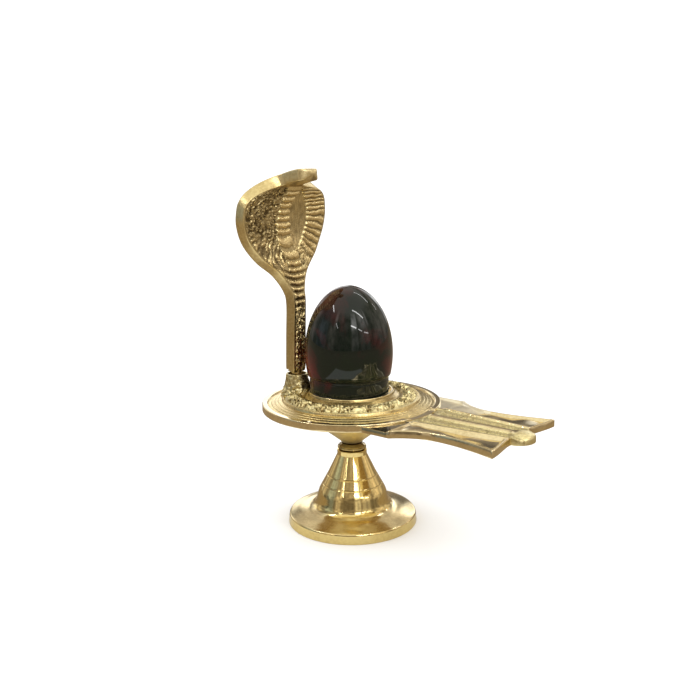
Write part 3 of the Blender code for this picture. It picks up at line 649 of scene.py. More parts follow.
def spout_height(x, y, edge_distance):
    """The top's height over the spout's level, and how clean the metal is there, from 0 to 1, with painted
    shade in the drain hollow and on the near shoulder's facet.
    """
    side = abs(y)
    place = Vector((x, y, 0)) / MM
    border = channel_half_width(x)
    at_tongue = smooth_step(x, TAIL_END - 7 * MM, TAIL_END - 1 * MM)
    past_rim = smooth_step(x, 41.5 * MM, 44.5 * MM)
    wing = smooth_step(side, border + 0.4 * MM, border + 2.2 * MM)
    wing *= smooth_step(edge_distance, WING_BORDER * 0.6, WING_BORDER * 2.0)
    facet = 0.0
    if y < 0:
        wing *= smooth_step(x, 42.5 * MM, 45.0 * MM)
        facet = (1 - smooth_step(x, 41.6 * MM, 42.6 * MM)) * smooth_step(side, 12 * MM, 13.5 * MM)
    else:
        wing *= 0.75 + 0.25 * smooth_step(x, 50 * MM, 60 * MM)
    height = (WING_WAVE * noise.noise(place * 0.095 + Vector((8, 4, 0))) - WING_DEPTH) * wing
    height -= FACET_DEPTH * facet
    inside = 1 - smooth_step(side, border - 1.5 * MM, border - 0.5 * MM)
    height -= CHANNEL_DEPTH * inside * (1 - at_tongue * 0.9)
    height -= UNDER_RIM_DEPTH * (1 - past_rim) * (1 - facet)
    height += BORDER_RIDGE * ridge(side - border, RIDGE_HALF_WIDTH) * past_rim
    height += SIDE_RIDGE * ridge(side - border * 0.58, RIDGE_HALF_WIDTH) * (1 - at_tongue) * past_rim
    middle = ridge(y, (2.5 + 2.6 * at_tongue) * MM) ** 0.6
    height += (1.2 - 0.35 * at_tongue) * MM * middle * past_rim
    past_tail = (x - (TAIL_END - 3.5 * MM)) / (TONGUE_TIP - TAIL_END + 3.5 * MM)
    if past_tail > 0 and side < TONGUE_HALF_WIDTH * 1.15:
        off = min(math.hypot(past_tail, side / TONGUE_HALF_WIDTH * 0.8), 1.0)
        height -= NOSE_DROP * (1 - math.sqrt(1 - off ** 2)) * smooth_step(past_tail, 0, 0.5)
    drain = 1 - smooth_step(math.hypot(x - DRAIN_X, y - DRAIN_Y), 1.6 * MM, 3.6 * MM)
    height -= DRAIN_DEPTH * drain
    rough = inside * max(1 - middle * 1.1, at_tongue * 0.45, 0)
    grain = (crests(place * 1.7) - 0.5) * 0.30 + noise.noise(place * 2.4) * 0.12
    height += grain * MM * rough
    clean = 1 - rough * (0.25 + 0.5 * (1 - crests(place * 1.7)))
    # Painted shade: the drain hollow and the near shoulder's facet are darkened.
    return height, max(0.0, min(1.0, clean - 0.9 * drain - 0.75 * facet))


def spout_piece():
    shares = np.linspace(-1, 1, SPOUT_ROWS + 1)
    points, crowns, top, bottom = [], [], [], []
    for i in range(SPOUT_COLUMNS + 1):
        along = i / SPOUT_COLUMNS
        top_row, bottom_row = [], []
        for share in shares:
            x = SPOUT_ROOT + (spout_end(share) - SPOUT_ROOT) * along
            y = spout_half_width(min(x, TAIL_END)) * share
            if abs(share) * TAIL_HALF_WIDTH < TONGUE_HALF_WIDTH * 1.2 and x > TAIL_END - 6 * MM:
                y = TAIL_HALF_WIDTH * share
            edge = min(spout_half_width(min(x, TAIL_END)) * (1 - abs(share)), spout_end(share) - x)
            height, crown = spout_height(x, y, edge)
            if edge < EDGE_ROUNDING:
                height -= EDGE_ROUNDING * (1 - math.sqrt(max(1 - (1 - edge / EDGE_ROUNDING) ** 2, 0)))
            top_row.append(len(points))
            points.append((AXIS_X + x, y, SPOUT_TOP + height))
            crowns.append(crown)
            bottom_row.append(len(points))
            points.append((AXIS_X + x, y, SPOUT_UNDERSIDE))
            crowns.append(0.8)
        top.append(top_row)
        bottom.append(bottom_row)
    faces = []
    for i in range(SPOUT_COLUMNS):
        for j in range(SPOUT_ROWS):
            faces.append((top[i][j], top[i + 1][j], top[i + 1][j + 1], top[i][j + 1]))
            faces.append((bottom[i][j], bottom[i][j + 1], bottom[i + 1][j + 1], bottom[i + 1][j]))
        faces.append((top[i][0], bottom[i][0], bottom[i + 1][0], top[i + 1][0]))
        faces.append((top[i][-1], top[i + 1][-1], bottom[i + 1][-1], bottom[i][-1]))
    for j in range(SPOUT_ROWS):
        faces.append((top[0][j], top[0][j + 1], bottom[0][j + 1], bottom[0][j]))
        faces.append((top[-1][j], bottom[-1][j], bottom[-1][j + 1], top[-1][j + 1]))
    piece = mesh_piece("yoni_spout", points, faces, 55)
    set_crown(piece, crowns)
    return piece


# A rougher satin finish whose pale colour is painted sheen: the light that the far wing reflects near the
# rim.
SATIN_PAINTED_SHEEN = brass(
    "satin_painted_sheen_brass", (0.99, 0.92, 0.71), (0.86, 0.74, 0.50), (0.16, 0.12, 0.05), (0.24, 0.38), marks=0.03,
)


def spout_finish(middle):
    """Chased in the channel, satin with a painted pale sheen on the far wing near the rim, and polished
    elsewhere.
    """
    x, side = middle.x - AXIS_X, abs(middle.y)
    border = channel_half_width(x)
    on_top = middle.z > SPOUT_UNDERSIDE + 0.5 * MM
    if on_top and middle.y > border + 0.6 * MM:
        # Where the satin finish and its painted sheen end on the far wing.
        satin_and_sheen_end = 60 * MM + 6 * MM * noise.noise(middle / MM * 0.25)
        return 2 if x < satin_and_sheen_end else 1
    on_middle_ridge = side < 1.9 * MM and 45 * MM < x < TAIL_END - 3 * MM
    return 0 if on_top and side <= border - 0.8 * MM and not on_middle_ridge else 1


spout = spout_piece()
split_finish(spout, spout_finish, (CHASED, POLISHED, SATIN_PAINTED_SHEEN))
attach(spout, "root")
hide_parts("yoni_plate")

# The socket
# A short tapered tube cast on the chased band, behind the ring on the left. The naga's tenon stands in it.
# Its outside is rough from the mould, and its mouth is filed flat.
SOCKET_ANGLE = math.radians(208)
SOCKET_PLACE = 25.9 * MM
SOCKET_X = SOCKET_PLACE * math.cos(SOCKET_ANGLE)
SOCKET_Y = SOCKET_PLACE * math.sin(SOCKET_ANGLE)
SOCKET_TOP = plate_high.z
SOCKET_MOUTH = 5.0 * MM
SOCKET_BASE = 6.9 * MM
SOCKET_BORE = 2.8 * MM
SOCKET_FUNNEL = 4.3 * MM
SOCKET_DEPTH = 11.0 * MM
BORE_DEPTH = 7.6 * MM


def shape_socket(r, z, angle):
    """Grows the tube's mould roughness towards its foot, where the band's scales climb it."""
    if r < SOCKET_FUNNEL + 0.2 * MM or z > SOCKET_TOP - 0.3 * MM:
        return r, z
    place = Vector((math.cos(angle) * 5, math.sin(angle) * 5, z / MM))
    rough = noise.noise(place * 0.55) * 0.45 + noise.noise(place * 1.4) * 0.18
    scales = 1.1 * crests(place * 0.9) * smooth_step(SOCKET_TOP - z, 5.0 * MM, 8.5 * MM)
    return r + (rough * smooth_step(SOCKET_TOP - z, 0.2 * MM, 3 * MM) + scales) * MM, z


def socket_crown(place):
    """The bore and its funnel round the tenon are darkest; the mould's pits are soiled."""
    x, y = place.x - AXIS_X - SOCKET_X, place.y - SOCKET_Y
    if math.hypot(x, y) < SOCKET_FUNNEL:
        return 0.0
    return 0.25 + 0.6 * crests(place / MM * 0.8)


socket_profile = rounded([
    (SOCKET_BORE, SOCKET_TOP - BORE_DEPTH, 0),
    (SOCKET_BORE, SOCKET_TOP - 2.2 * MM, 0.1 * MM),
    (SOCKET_FUNNEL, SOCKET_TOP - 1.1 * MM, 0.3 * MM),
    (SOCKET_FUNNEL, SOCKET_TOP, 0.15 * MM),
    (SOCKET_MOUTH, SOCKET_TOP, 0.2 * MM),
    (SOCKET_BASE, SOCKET_TOP - SOCKET_DEPTH, 0),
    (SOCKET_BORE, SOCKET_TOP - SOCKET_DEPTH, 0),
], 4)
socket = lathe(
    "naga_socket", densified(socket_profile, 0.35 * MM), 96, closed=True,
    center=(SOCKET_X, SOCKET_Y), shift=shape_socket, sharp_degrees=45,
)
keep_crown(socket, socket_crown)
socket.data.materials.append(CHASED)
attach(socket, "root")
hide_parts("yoni_plate")

# The lingam
# A solid egg of dark stone on a narrower foot band, ground and polished to a mirror.
# It stands in the plate's holder ring under its own weight.
lingam_low, lingam_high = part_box("lingam")
LINGAM_X = (lingam_low.x + lingam_high.x) / 2 - AXIS_X
LINGAM_Y = (lingam_low.y + lingam_high.y) / 2
LINGAM_RADIUS = 20.3 * MM
LINGAM_BAND_RADIUS = 18.2 * MM
LINGAM_BAND_HEIGHT = 8.5 * MM
LINGAM_BELLY = lingam_low.z + 19.0 * MM
LINGAM_POWER = 1.93
# The way across the camera's view along which red is painted low on both sides, as a painted reflection of
# the brass.
PAINTED_REFLECTION_SIDES = math.radians(39)


def egg_profile():
    rise = lingam_high.z - LINGAM_BELLY
    band_top = lingam_low.z + LINGAM_BAND_HEIGHT
    points = []
    for step in range(61):
        share = math.cos(math.pi / 2 * step / 60)
        points.append((LINGAM_RADIUS * (1 - share ** 2) ** (1 / LINGAM_POWER), LINGAM_BELLY + rise * share))
    for height in np.linspace(LINGAM_BELLY, band_top + 0.6 * MM, 18)[1:]:
        share = (LINGAM_BELLY - height) / rise
        points.append((LINGAM_RADIUS * math.sqrt(1 - share ** 2), height))
    edge = points[-1][0]
    turn_in = [
        (edge - 0.35 * MM, band_top + 0.1 * MM),
        (edge - 1.0 * MM, band_top - 0.2 * MM),
        (LINGAM_BAND_RADIUS + 0.05 * MM, band_top - 0.5 * MM),
        (LINGAM_BAND_RADIUS - 0.1 * MM, band_top - 0.9 * MM),
    ]
    foot = rounded([
        (LINGAM_BAND_RADIUS - 0.1 * MM, band_top - 0.9 * MM, 0),
        (LINGAM_BAND_RADIUS + 0.1 * MM, band_top - 1.6 * MM, 0.3 * MM),
        (LINGAM_BAND_RADIUS + 0.1 * MM, lingam_low.z + 0.9 * MM, 0.6 * MM),
        (LINGAM_BAND_RADIUS - 0.8 * MM, lingam_low.z, 0.3 * MM),
        (0, lingam_low.z, 0),
    ], 6)
    return points + turn_in + foot[1:]


def colour_ramp(tree, value, stops):
    """The colour that a ramp gives a value. A stop is (position, colour)."""
    ramp = node(tree, "ShaderNodeValToRGB", {"Fac": value})
    elements = ramp.color_ramp.elements
    for _ in stops[2:]:
        elements.new(0.5)
    for element, (position, colour) in zip(elements, stops):
        element.position = position
        element.color = (*colour, 1)
    return ramp.outputs["Color"]


def polished_stone():
    """Near-black stone under a glassy polish: thin veins, green clouds, slightly warmer towards the top, and
    red ones low on the two sides left and right of the camera's view, a painted reflection of the brass.
    """
    material, tree, shader = new_material("polished_stone")
    place = node(tree, "ShaderNodeTexCoord").outputs["Object"]
    height = node(tree, "ShaderNodeSeparateXYZ", {0: place}).outputs["Z"]
    low_down = mapped(tree, height, 0.076, 0.088, 1.0, 0.0)
    on_belly = maths(tree, "MULTIPLY", low_down, mapped(tree, height, 0.0702, 0.0732))
    # Painted reflection: red low on the egg's left and right sides as the camera sees them.
    painted_reflection_way = (math.cos(PAINTED_REFLECTION_SIDES), math.sin(PAINTED_REFLECTION_SIDES), 0)
    across = vector_maths(tree, "DOT_PRODUCT", place, painted_reflection_way)["Value"]
    middle = (AXIS_X + LINGAM_X) * painted_reflection_way[0] + LINGAM_Y * painted_reflection_way[1]
    off_side = maths(tree, "ABSOLUTE", maths(tree, "SUBTRACT", across, middle))
    painted_reflection_low = maths(tree, "MULTIPLY", mapped(tree, off_side, 0.0118, 0.0190, -0.12, 0.36), on_belly)
    tinted = maths(tree, "ADD", painted_reflection_low, mapped(tree, height, 0.096, 0.112, 0.0, 0.05))
    clouds = noise_texture(tree, place, 38.0, 5.0, 0.6, 0.6)
    stops = ((0.30, (0.003, 0.008, 0.003)), (0.54, (0.004, 0.006, 0.004)), (0.84, (0.070, 0.006, 0.006)))
    clouded = colour_ramp(tree, maths(tree, "ADD", tinted, clouds), stops)
    thin = mapped(tree, noise_texture(tree, place, 220.0, 6.0, 0.7, 1.2), 0.60, 0.72, 0.0, 0.35)
    feed(tree, shader, {
        "Base Color": blended(tree, thin, clouded, (0.022, 0.020, 0.011, 1)),
        "Roughness": mapped(tree, clouds, 0.0, 1.0, 0.02, 0.07),
        "IOR": 1.46,
    })
    return material


outline = densified(egg_profile(), 0.9 * MM)
egg = lathe("lingam_stone", outline, 240, center=(LINGAM_X, LINGAM_Y), sharp_degrees=60)
egg.data.materials.append(polished_stone())
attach(egg, "root")
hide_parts("lingam")

# The naga hood
# One flat brass casting, bent forward at its head, whose ground edges shine like a ribbon.
# Its front is chased with belly bars, ribs and scales, and a round tenon stands it in the socket.
naga_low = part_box("naga_hood")[0]
NAGA_FOOT = SOCKET_TOP + 2.1 * MM
NAGA_HEIGHT = 91.2 * MM
NAGA_THICKNESS = 5.3 * MM
HOOD_HALF_WIDTH = 27.1 * MM
STEM_HALF_WIDTH = 4.2 * MM
HEAD_HALF_WIDTH = 6.2 * MM
HOOD_CUP = 1.4 * MM
HOOD_TURN = math.radians(2.5)
HEAD_END = 3.4 * MM
EDGE_RADIUS = 0.55 * MM
EDGE_CLEAN = 0.85
OVAL_SHARE = 0.775
CHASING_DEPTH = 0.66 * MM
HEAD_SHARE = 0.94
TENON_RADIUS = 2.5 * MM
RINGS_ALONG = 420
POINTS_ACROSS = 150


def naga_stations():
    """Stations up the naga: forward and height as shares of its height, and half its width."""
    stem, hood, head = STEM_HALF_WIDTH, HOOD_HALF_WIDTH, HEAD_HALF_WIDTH
    shares = [
        (-0.007, 0.000, stem * 0.90), (-0.006, 0.016, stem), (0.000, 0.180, stem), (0.006, 0.340, stem),
        (-0.006, 0.410, stem * 1.20), (-0.031, 0.490, hood * 0.35), (-0.057, 0.570, hood * 0.66),
        (-0.081, 0.665, hood * 0.90), (-0.087, 0.755, hood), (-0.083, 0.830, hood * 0.99),
        (-0.076, 0.864, hood * 0.95), (-0.066, 0.892, hood * 0.87), (-0.054, 0.914, hood * 0.74),
        (-0.040, 0.931, hood * 0.55), (-0.022, 0.945, hood * 0.34), (0.000, 0.954, head * 1.08),
        (0.054, 0.968, head), (0.098, 0.976, head * 0.95), (0.124, 0.979, head * 0.80),
        (0.136, 0.979, head * 0.55),
    ]
    scaled = [(forward * NAGA_HEIGHT, height * NAGA_HEIGHT, width) for forward, height, width in shares]
    return np.array(scaled)


def smooth_path(stations, count):
    """A smooth curve through the stations, cut into even steps along its length."""
    ends = (2 * stations[0] - stations[1], 2 * stations[-1] - stations[-2])
    guides = np.vstack([ends[0], stations, ends[1]])
    fine = []
    for i in range(1, len(guides) - 2):
        before, start, end, after = guides[i - 1:i + 3]
        for share in np.linspace(0, 1, 40, endpoint=False):
            fine.append(0.5 * (
                2 * start + (end - before) * share
                + (2 * before - 5 * start + 4 * end - after) * share ** 2
                + (3 * start - before - 3 * end + after) * share ** 3
            ))
    fine = np.array(fine + [stations[-1]])
    lengths = np.concatenate([[0], np.cumsum(np.linalg.norm(np.diff(fine[:, :2], axis=0), axis=1))])
    marks = np.linspace(0, lengths[-1], count)
    return marks, np.column_stack([np.interp(marks, lengths, fine[:, k]) for k in range(3)])


def belly_middle(share):
    """Where the belly's middle line lies across the hood, which wanders a little up its height."""
    shares = (0.0, 0.36, 0.46, 0.55, 0.60, 0.65, 0.70, 0.76, 0.84, 0.90, 1.0)
    places = (-0.2, 0.0, 0.6, 1.1, -0.6, -1.9, -1.8, -0.9, 1.1, 3.4, 3.6)
    return float(np.interp(share, shares, places)) * MM


def belly_bars(share, across):
    """The belly's cross bars: each sags in its middle and curls up at its near end."""
    from_middle = (across - belly_middle(share)) / MM
    curl = 0.035 * max(0.0, -from_middle) ** 2 + 0.012 * max(0.0, from_middle) ** 2
    pitch = 2.75 + 0.35 * smooth_step(share, 0.52, 0.70)
    lift = (share * NAGA_HEIGHT / MM - curl) / pitch
    wave = (lift + 0.12 * noise.noise(Vector((from_middle * 0.5, lift * 0.9, 7)))) % 1.0
    return math.sin(math.pi * min(wave / 0.72, 1.0)) ** 0.7 if wave < 0.72 else 0.0


def near_plumes(across, up):
    """Plumes on the near lobe, which fan out from the belly and bend down."""
    x, y = -(across / MM + 2.0), 62.0 - up / MM
    reach = math.hypot(x, y)
    phase = (math.atan2(y, x) - 0.00185 * reach ** 2) / 0.25
    phase += 0.8 * noise.noise(Vector((x, y, 1)) * 0.25)
    broken = 0.7 + 0.9 * noise.noise(Vector((x, y, 4)) * 0.35)
    return (0.5 + 0.5 * math.sin(math.tau * phase)) ** 0.8 * min(max(broken, 0.2), 1.1)


def far_ribs(across, up):
    """Ribs along the far lobe's edge: level above, and fanned round the oval's middle below."""
    x, y = across / MM + 1.7, 71.4 - up / MM
    phase = math.degrees(math.atan2(y, max(x, 1.0))) / 8.3 if y > 0 else y / 2.1
    phase += 0.25 * noise.noise(Vector((x, y, 2)) * 0.35)
    return (0.5 + 0.5 * math.sin(math.tau * phase)) ** 0.8


def oval_hollow(across, share):
    """How far a place lies inside the smooth teardrop hollow beside the belly, from 0 to 1."""
    length = 0.155 if share > OVAL_SHARE else 0.19
    along = abs(share - OVAL_SHARE) / length
    if along >= 1:
        return 0.0
    half = 6.4 * MM * (1 - along ** 1.7)
    middle = (8.8 - 2.6 * smooth_step(OVAL_SHARE - share, 0.05, 0.19)) * MM
    return 1 - smooth_step(abs(across - middle), half - 1.2 * MM, half + 0.4 * MM)


def chasing(share, across, half_width):
    """The front's relief in metres and how clean it is, with painted shade on the near lobe, at a share of
    the height and a place across.
    """
    up = share * NAGA_HEIGHT
    place = Vector((across, up, 0)) / MM
    on_hood = smooth_step(half_width, STEM_HALF_WIDTH * 1.3, HOOD_HALF_WIDTH * 0.6)
    fine = noise.noise(place * 1.3) * 0.10 + noise.noise(place * 3.1) * 0.08
    crumbs = crests(place * 0.62)
    belly_half = (4.4 + 0.3 * on_hood) * MM
    belly = 1 - smooth_step(abs(across - belly_middle(share)), belly_half * 0.86, belly_half * 1.08)
    belly = max(belly, 1 - on_hood)
    pitted = 1 - smooth_step(share, 0.30, 0.37)
    bars = belly_bars(share, across)
    on_belly = 1.15 * bars * (1 - pitted) + (0.4 * bars + 0.9 * crests(place * 0.8)) * pitted + fine
    if across < belly_middle(share):
        plumed = 1 - smooth_step(share + 0.0035 * across / MM, 0.56, 0.66)
        beside = 1.1 * near_plumes(across, up) * plumed + 1.15 * crumbs * (1 - plumed) + fine * 1.6
        # The near lobe is kept darker than the far one: partly soil in its crumbly chasing, partly painted
        # shade.
        beside_clean_and_lit = 0.48 + 0.27 * plumed
    else:
        ribs = smooth_step(across, 8 * MM, 13 * MM)
        beside = far_ribs(across, up) * ribs + 0.8 * crumbs * (1 - ribs) + fine
        beside_clean_and_lit = 0.98
    oval = oval_hollow(across, share)
    swell = 0.9 * on_hood * belly
    level = on_belly * belly + beside * (1 - belly) + swell
    clean_belly = 0.20 - 0.24 * on_hood + level / 1.95
    clean = clean_belly * belly + beside_clean_and_lit * (0.15 + 0.95 * beside) * (1 - belly)
    groove = noise.noise(Vector((across / MM * 2.2, up / MM * 0.25, 5))) * 0.22
    level = level * (1 - oval) + (-0.25 + groove) * oval
    clean = clean * (1 - oval) + (0.50 + groove * 1.6) * oval
    fade = 1 - smooth_step(share, 0.915, 0.945)
    rim = smooth_step(half_width - abs(across), 0.1 * MM, 1.3 * MM)
    height = (level * fade * rim + fine * 0.5) * CHASING_DEPTH
    return height, max(0.0, min(1.0, clean * rim + 0.45 * (1 - rim)))


def naga_section(share, half_width, half_thick):
    """A closed section of (across, depth, crown) points: the chased front, an edge, the back, an edge."""
    edge_radius = min(EDGE_RADIUS, half_thick * 0.8)
    inner = half_width - edge_radius
    section = []
    for across in np.linspace(-inner, inner, POINTS_ACROSS):
        level, crown = chasing(share, across, inner)
        section.append((across, half_thick + level, crown))
    curve = [(math.sin(a), math.cos(a)) for a in np.linspace(0.3, math.pi / 2, 4)]
    front_edge = [(inner + edge_radius * s, half_thick - edge_radius + edge_radius * c) for s, c in curve]
    side_edge = front_edge + [(half_width, half_thick * 0.3), (half_width, -half_thick * 0.3)]
    side_edge += [(across, -depth) for across, depth in reversed(front_edge)]
    edge_clean = EDGE_CLEAN - 0.32 * (1 - smooth_step(share, 0.34, 0.58))
    section += [(across, depth, edge_clean) for across, depth in side_edge]
    section += [(across, -half_thick, edge_clean) for across in np.linspace(inner, -inner, 40)]
    section += [(-across, depth, edge_clean) for across, depth in reversed(side_edge)]
    return section


def naga_piece():
    marks, path = smooth_path(naga_stations(), RINGS_ALONG)
    tangents = np.gradient(path[:, :2], axis=0)
    tangents /= np.linalg.norm(tangents, axis=1)[:, None]
    points, crowns, rings = [], [], []
    for mark, (forward, up, half_width), tangent in zip(marks, path, tangents):
        normal = np.array([tangent[1], -tangent[0]])
        hood_share = smooth_step(half_width, STEM_HALF_WIDTH * 1.2, HOOD_HALF_WIDTH * 0.8)
        turn = math.tan(HOOD_TURN) * hood_share
        to_end = min((marks[-1] - mark) / HEAD_END, 1.0)
        swell = math.sqrt(1 - (1 - to_end) ** 2 * 0.9)
        half_width *= 0.4 + 0.6 * swell
        ring = []
        for across, depth, crown in naga_section(up / NAGA_HEIGHT, half_width, NAGA_THICKNESS / 2 * swell):
            spread = (across / HOOD_HALF_WIDTH) ** 2 * HOOD_CUP
            x, z = np.array([forward, up]) + normal * (depth + spread)
            ring.append(len(points))
            points.append((AXIS_X + SOCKET_X + x, SOCKET_Y + across, NAGA_FOOT + z + across * turn))
            crowns.append(crown)
        rings.append(ring)
    faces, finishes = [], []
    for (forward, up, _), low, high in zip(path, rings, rings[1:]):
        share = up / NAGA_HEIGHT
        at_head = forward > -0.01 * NAGA_HEIGHT and share > HEAD_SHARE
        for j in range(len(low)):
            k = (j + 1) % len(low)
            faces.append((low[j], low[k], high[k], high[j]))
            on_front = j < POINTS_ACROSS - 1 and share < HEAD_SHARE
            finishes.append(0 if on_front else 2 if at_head else 1)
    faces.append(tuple(reversed(rings[0])))
    faces.append(tuple(rings[-1]))
    finishes += [1, 2]
    piece = mesh_piece("naga_hood_cast", points, faces, 48)
    set_crown(piece, crowns)
    piece.data.polygons.foreach_set("material_index", finishes)
    return piece


HOOD_CHASED = brass(
    "hood_chased", (0.94, 0.77, 0.40), (0.64, 0.46, 0.20), (0.07, 0.045, 0.016), (0.18, 0.36), grain=0.25,
)
HOOD_GROUND = brass(
    "hood_ground", (0.86, 0.70, 0.35), (0.48, 0.34, 0.13), (0.3, 0.2, 0.08), (0.22, 0.42), grain=0.14,
)
HEAD_CAST = brass(
    "head_cast", (0.95, 0.80, 0.44), (0.62, 0.47, 0.21), (0.2, 0.14, 0.05), (0.24, 0.42), grain=0.35,
)
naga = naga_piece()
for material in (HOOD_CHASED, HOOD_GROUND, HEAD_CAST):
    naga.data.materials.append(material)
tenon = lathe(
    "naga_tenon",
    rounded([
        (0, NAGA_FOOT + 1.0 * MM, 0), (TENON_RADIUS, NAGA_FOOT + 1.0 * MM, 0.2 * MM),
        (TENON_RADIUS, naga_low.z, 0.4 * MM), (0, naga_low.z, 0),
    ], 3),
    64, center=(SOCKET_X, SOCKET_Y),
)
keep_crown(tenon, lambda place: EDGE_CLEAN)
tenon.data.materials.append(HOOD_GROUND)
for piece in (naga, tenon):
    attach(piece, "root")
    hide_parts("naga_hood")

# The studio
# A pale seamless floor and a white room, as the camera sees them.
# In reflections it has bands of light round the walls, and a light ceiling with tubes.
FLOOR_SIZE = 8.0
CAMERA_SIDE_DEGREES = 39.0
FLOOR_TONE = (0.93, 0.93, 0.93, 1)
TABLE_TONE = (0.24, 0.19, 0.13, 1)
SHEET_TONE = (0.66, 0.65, 0.61, 1)
SHEET_MIDDLE = (AXIS_X - 0.01, -0.095)
SHEET_HALF_SIZE = (0.12, 0.10)
floor_corners = [(x * FLOOR_SIZE, y * FLOOR_SIZE, 0) for x, y in ((-1, -1), (1, -1), (1, 1), (-1, 1))]
floor = mesh_piece("studio_floor", floor_corners, [(0, 1, 2, 3)])


def pale_floor():
    """Pale everywhere for the camera. In reflections only the sheet in front of the object is pale."""
    material, tree, shader = new_material("pale_floor")
    place = node(tree, "ShaderNodeTexCoord").outputs["Object"]
    turning = {"Vector": place, "Center": (AXIS_X, 0, 0), "Angle": math.radians(-CAMERA_SIDE_DEGREES)}
    turned = node(tree, "ShaderNodeVectorRotate", turning, rotation_type="Z_AXIS").outputs[0]
    split = node(tree, "ShaderNodeSeparateXYZ", {0: turned}).outputs
    width, depth = (
        maths(tree, "COMPARE", split[axis], middle, half_size)
        for axis, middle, half_size in zip("XY", SHEET_MIDDLE, SHEET_HALF_SIZE)
    )
    table = blended(tree, maths(tree, "MULTIPLY", width, depth), TABLE_TONE, SHEET_TONE)
    in_reflection = node(tree, "ShaderNodeLightPath").outputs["Is Glossy Ray"]
    shown = blended(tree, in_reflection, FLOOR_TONE, table)
    feed(tree, shader, {"Base Color": shown, "Roughness": 0.9, "Specular IOR Level": 0.0})
    return material


floor.data.materials.append(pale_floor())

# The room's bands of light, by degrees to the right of the camera's side: (degrees, light, blue share)
HIGH_BANDS = (
    (-129, 0.30, 0.75), (-100, 0.20, 0.95), (-84, 0.20, 1.05), (-56, 0.26, 0.8), (-49, 0.30, 0.8),
    (-46, 1.00, 0.85), (-40, 1.00, 0.85), (-36, 0.30, 0.8), (-18, 0.42, 0.75), (3, 0.34, 0.75),
    (7, 0.40, 0.9), (10, 2.10, 0.95), (24, 2.10, 0.95), (28, 0.35, 0.8), (40, 1.40, 0.9),
    (53, 1.30, 0.9), (57, 0.45, 0.8), (62, 1.30, 0.9), (66, 0.35, 0.8), (90, 0.48, 0.75),
    (123, 0.45, 0.7), (180, 0.50, 0.8), (231, 0.30, 0.75),
)
LOW_BANDS = (
    (-129, 0.45, 0.75), (-114, 0.45, 0.8), (-108, 0.20, 0.9), (-98, 0.20, 0.9), (-92, 0.28, 1.3),
    (-68, 0.28, 1.3), (-62, 0.20, 0.8), (-54, 0.55, 0.75), (-44, 0.50, 0.75), (-36, 0.20, 0.7),
    (6, 0.22, 0.7), (10, 0.60, 0.85), (24, 0.60, 0.85), (28, 0.25, 0.7), (40, 0.50, 0.8),
    (54, 0.50, 0.8), (60, 0.30, 0.7), (90, 0.50, 0.75), (123, 0.60, 0.75), (146, 0.20, 0.8),
    (152, 1.60, 1.0), (164, 1.40, 1.0), (168, 0.20, 0.8), (178, 0.25, 0.8), (182, 1.50, 1.0),
    (194, 1.10, 0.95), (199, 0.25, 0.8), (216, 1.00, 0.95), (223, 0.85, 0.9), (231, 0.50, 0.75),
)
ROOM_LIGHT = 1.35
SOFT_LIGHT = 1.32
CEILING_TONE = (0.75, 0.73, 0.65, 1)
WORLD_TURN = 90 + CAMERA_SIDE_DEGREES


def bands_of_light(tree, around, bands):
    """The bands' colour at a share of the way round the room."""
    stops = []
    for degrees, light, blue in bands:
        stops.append(((degrees + WORLD_TURN) / 360, (light, light * (0.5 + 0.5 * blue), light * blue)))
    return colour_ramp(tree, around, stops)


def room():
    """Even light for what isn't a mirror, and in reflections bands of light under a light ceiling."""
    world = bpy.data.worlds.new("studio")
    bpy.context.scene.world = world
    world.cycles.sampling_method = "NONE"
    world.use_nodes = True
    tree = world.node_tree
    place = node(tree, "ShaderNodeTexCoord").outputs["Generated"]
    split = node(tree, "ShaderNodeSeparateXYZ", {0: place}).outputs
    around = mapped(tree, maths(tree, "ARCTAN2", split["Y"], split["X"]), -math.pi, math.pi)
    raised = mapped(tree, split["Z"], 0.38, 0.54, interpolation_type="SMOOTHSTEP")
    low_bands, high_bands = (bands_of_light(tree, around, bands) for bands in (LOW_BANDS, HIGH_BANDS))
    bands = blended(tree, raised, low_bands, high_bands)
    uneven = mapped(tree, noise_texture(tree, place, 5.0, 3.0, 0.55), 0.35, 0.65, 0.50, 1.40)
    shade = maths(tree, "MULTIPLY", mapped(tree, split["Z"], 0.0, 0.20, 0.55, 1.0), uneven)
    walls = node(tree, "ShaderNodeVectorMath", {0: bands, "Scale": shade}, operation="SCALE").outputs[0]
    high = mapped(tree, split["Z"], 0.64, 0.84, interpolation_type="SMOOTHSTEP")
    mirrored = tree.nodes["Background"]
    feed(tree, mirrored, {"Color": blended(tree, high, walls, CEILING_TONE), "Strength": ROOM_LIGHT})
    even = node(tree, "ShaderNodeBackground", {"Color": (1, 1, 1, 1), "Strength": SOFT_LIGHT})
    in_reflection = node(tree, "ShaderNodeLightPath").outputs["Is Glossy Ray"]
    lights = {"Fac": in_reflection, 1: even.outputs[0], 2: mirrored.outputs[0]}
    mix = node(tree, "ShaderNodeMixShader", lights)
    feed(tree, tree.nodes["World Output"], {"Surface": mix.outputs[0]})


room()
LOOK_AT = Vector((AXIS_X, 0, 85 * MM))
ROOM_RADIUS = 1.6


def towards(azimuth, elevation):
    """The direction of an azimuth, counted from -Y towards +X, and an elevation, in degrees."""
    a, e = math.radians(azimuth), math.radians(elevation)
    return Vector((math.sin(a) * math.cos(e), -math.cos(a) * math.cos(e), math.sin(e)))


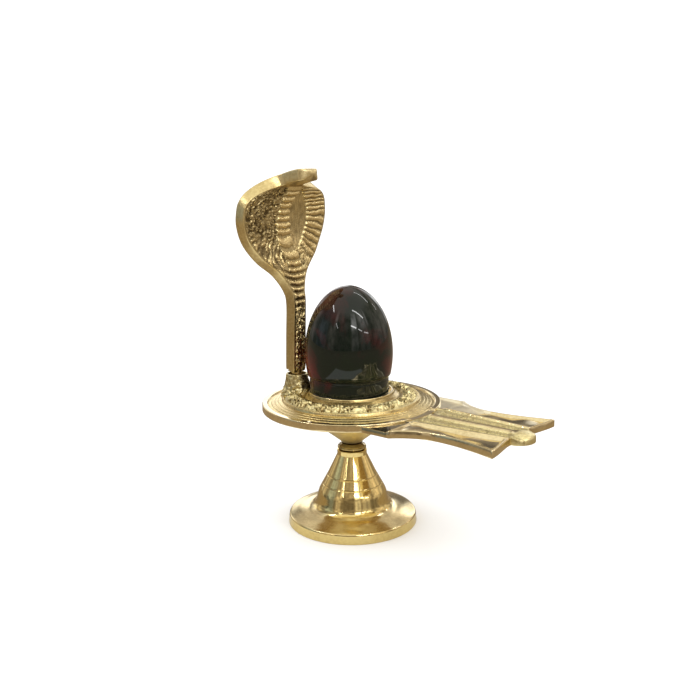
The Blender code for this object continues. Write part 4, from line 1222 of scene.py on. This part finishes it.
def tube(name, start, end, width, light):
    """A tube light from one direction to another, as (azimuth, elevation), seen from the object."""
    a, b = towards(*start) * ROOM_RADIUS, towards(*end) * ROOM_RADIUS
    lamp_data = bpy.data.lights.new(name, "AREA")
    lamp_data.shape = "RECTANGLE"
    lamp_data.size, lamp_data.size_y = (b - a).length, width
    lamp_data.energy = light * math.pi * lamp_data.size * width
    lamp = bpy.data.objects.new(name, lamp_data)
    bpy.context.scene.collection.objects.link(lamp)
    middle = (a + b) / 2
    along = (b - a).normalized()
    facing = middle.normalized()
    side = facing.cross(along).normalized()
    facing = along.cross(side).normalized()
    axes = Matrix((along, side, facing)).transposed().to_4x4()
    lamp.matrix_world = Matrix.Translation(LOOK_AT + middle) @ axes


tube("tube_left", (-61, 52.5), (-25, 46), 0.04, 20)
tube("tube_back", (-169, 64), (152, 42), 0.035, 13)
tube("tube_right", (58, 57), (92, 38), 0.05, 17)
tube("tube_low_1", (47, 32), (62, 28), 0.05, 19)
tube("tube_low_2", (68, 26), (78, 22), 0.03, 14)
tube("tube_low_3", (84, 20), (96, 17), 0.03, 12)
tube("tube_small", (-2, 33), (6, 27), 0.03, 9)
tube("tube_far", (165, 30), (160, 24), 0.02, 10)

# The camera
# It stands where the photograph was taken from: 0.39 m from the foot's axis, level with the naga's head.
CAMERA_DISTANCE = 0.390
CAMERA_HEIGHT = 0.16492
CAMERA_SIDE = -0.000385
CAMERA_AZIMUTH = math.radians(39.022)
CAMERA_PITCH = math.radians(11.916)
CAMERA_ROLL = math.radians(-0.676)
CAMERA_LENS = 44.51
right = Vector((math.cos(CAMERA_AZIMUTH), math.sin(CAMERA_AZIMUTH), 0))
away = Vector((math.sin(CAMERA_AZIMUTH), -math.cos(CAMERA_AZIMUTH), 0))
up = Vector((0, 0, 1))
view = -away * math.cos(CAMERA_PITCH) - up * math.sin(CAMERA_PITCH)
view_up = -away * math.sin(CAMERA_PITCH) + up * math.cos(CAMERA_PITCH)
image_right = right * math.cos(CAMERA_ROLL) + view_up * math.sin(CAMERA_ROLL)
image_up = -right * math.sin(CAMERA_ROLL) + view_up * math.cos(CAMERA_ROLL)
station = Vector((AXIS_X, 0, 0)) + away * CAMERA_DISTANCE + up * CAMERA_HEIGHT + right * CAMERA_SIDE
camera_data = bpy.data.cameras.new("camera")
camera_data.lens = CAMERA_LENS
camera_data.sensor_width = 36.0
camera_data.clip_start = 0.01
camera = bpy.data.objects.new("camera", camera_data)
bpy.context.scene.collection.objects.link(camera)
turned_axes = Matrix((image_right, image_up, -view)).transposed().to_4x4()
camera.matrix_world = Matrix.Translation(station) @ turned_axes
bpy.context.scene.camera = camera
bpy.context.scene.view_settings.view_transform = "Standard"
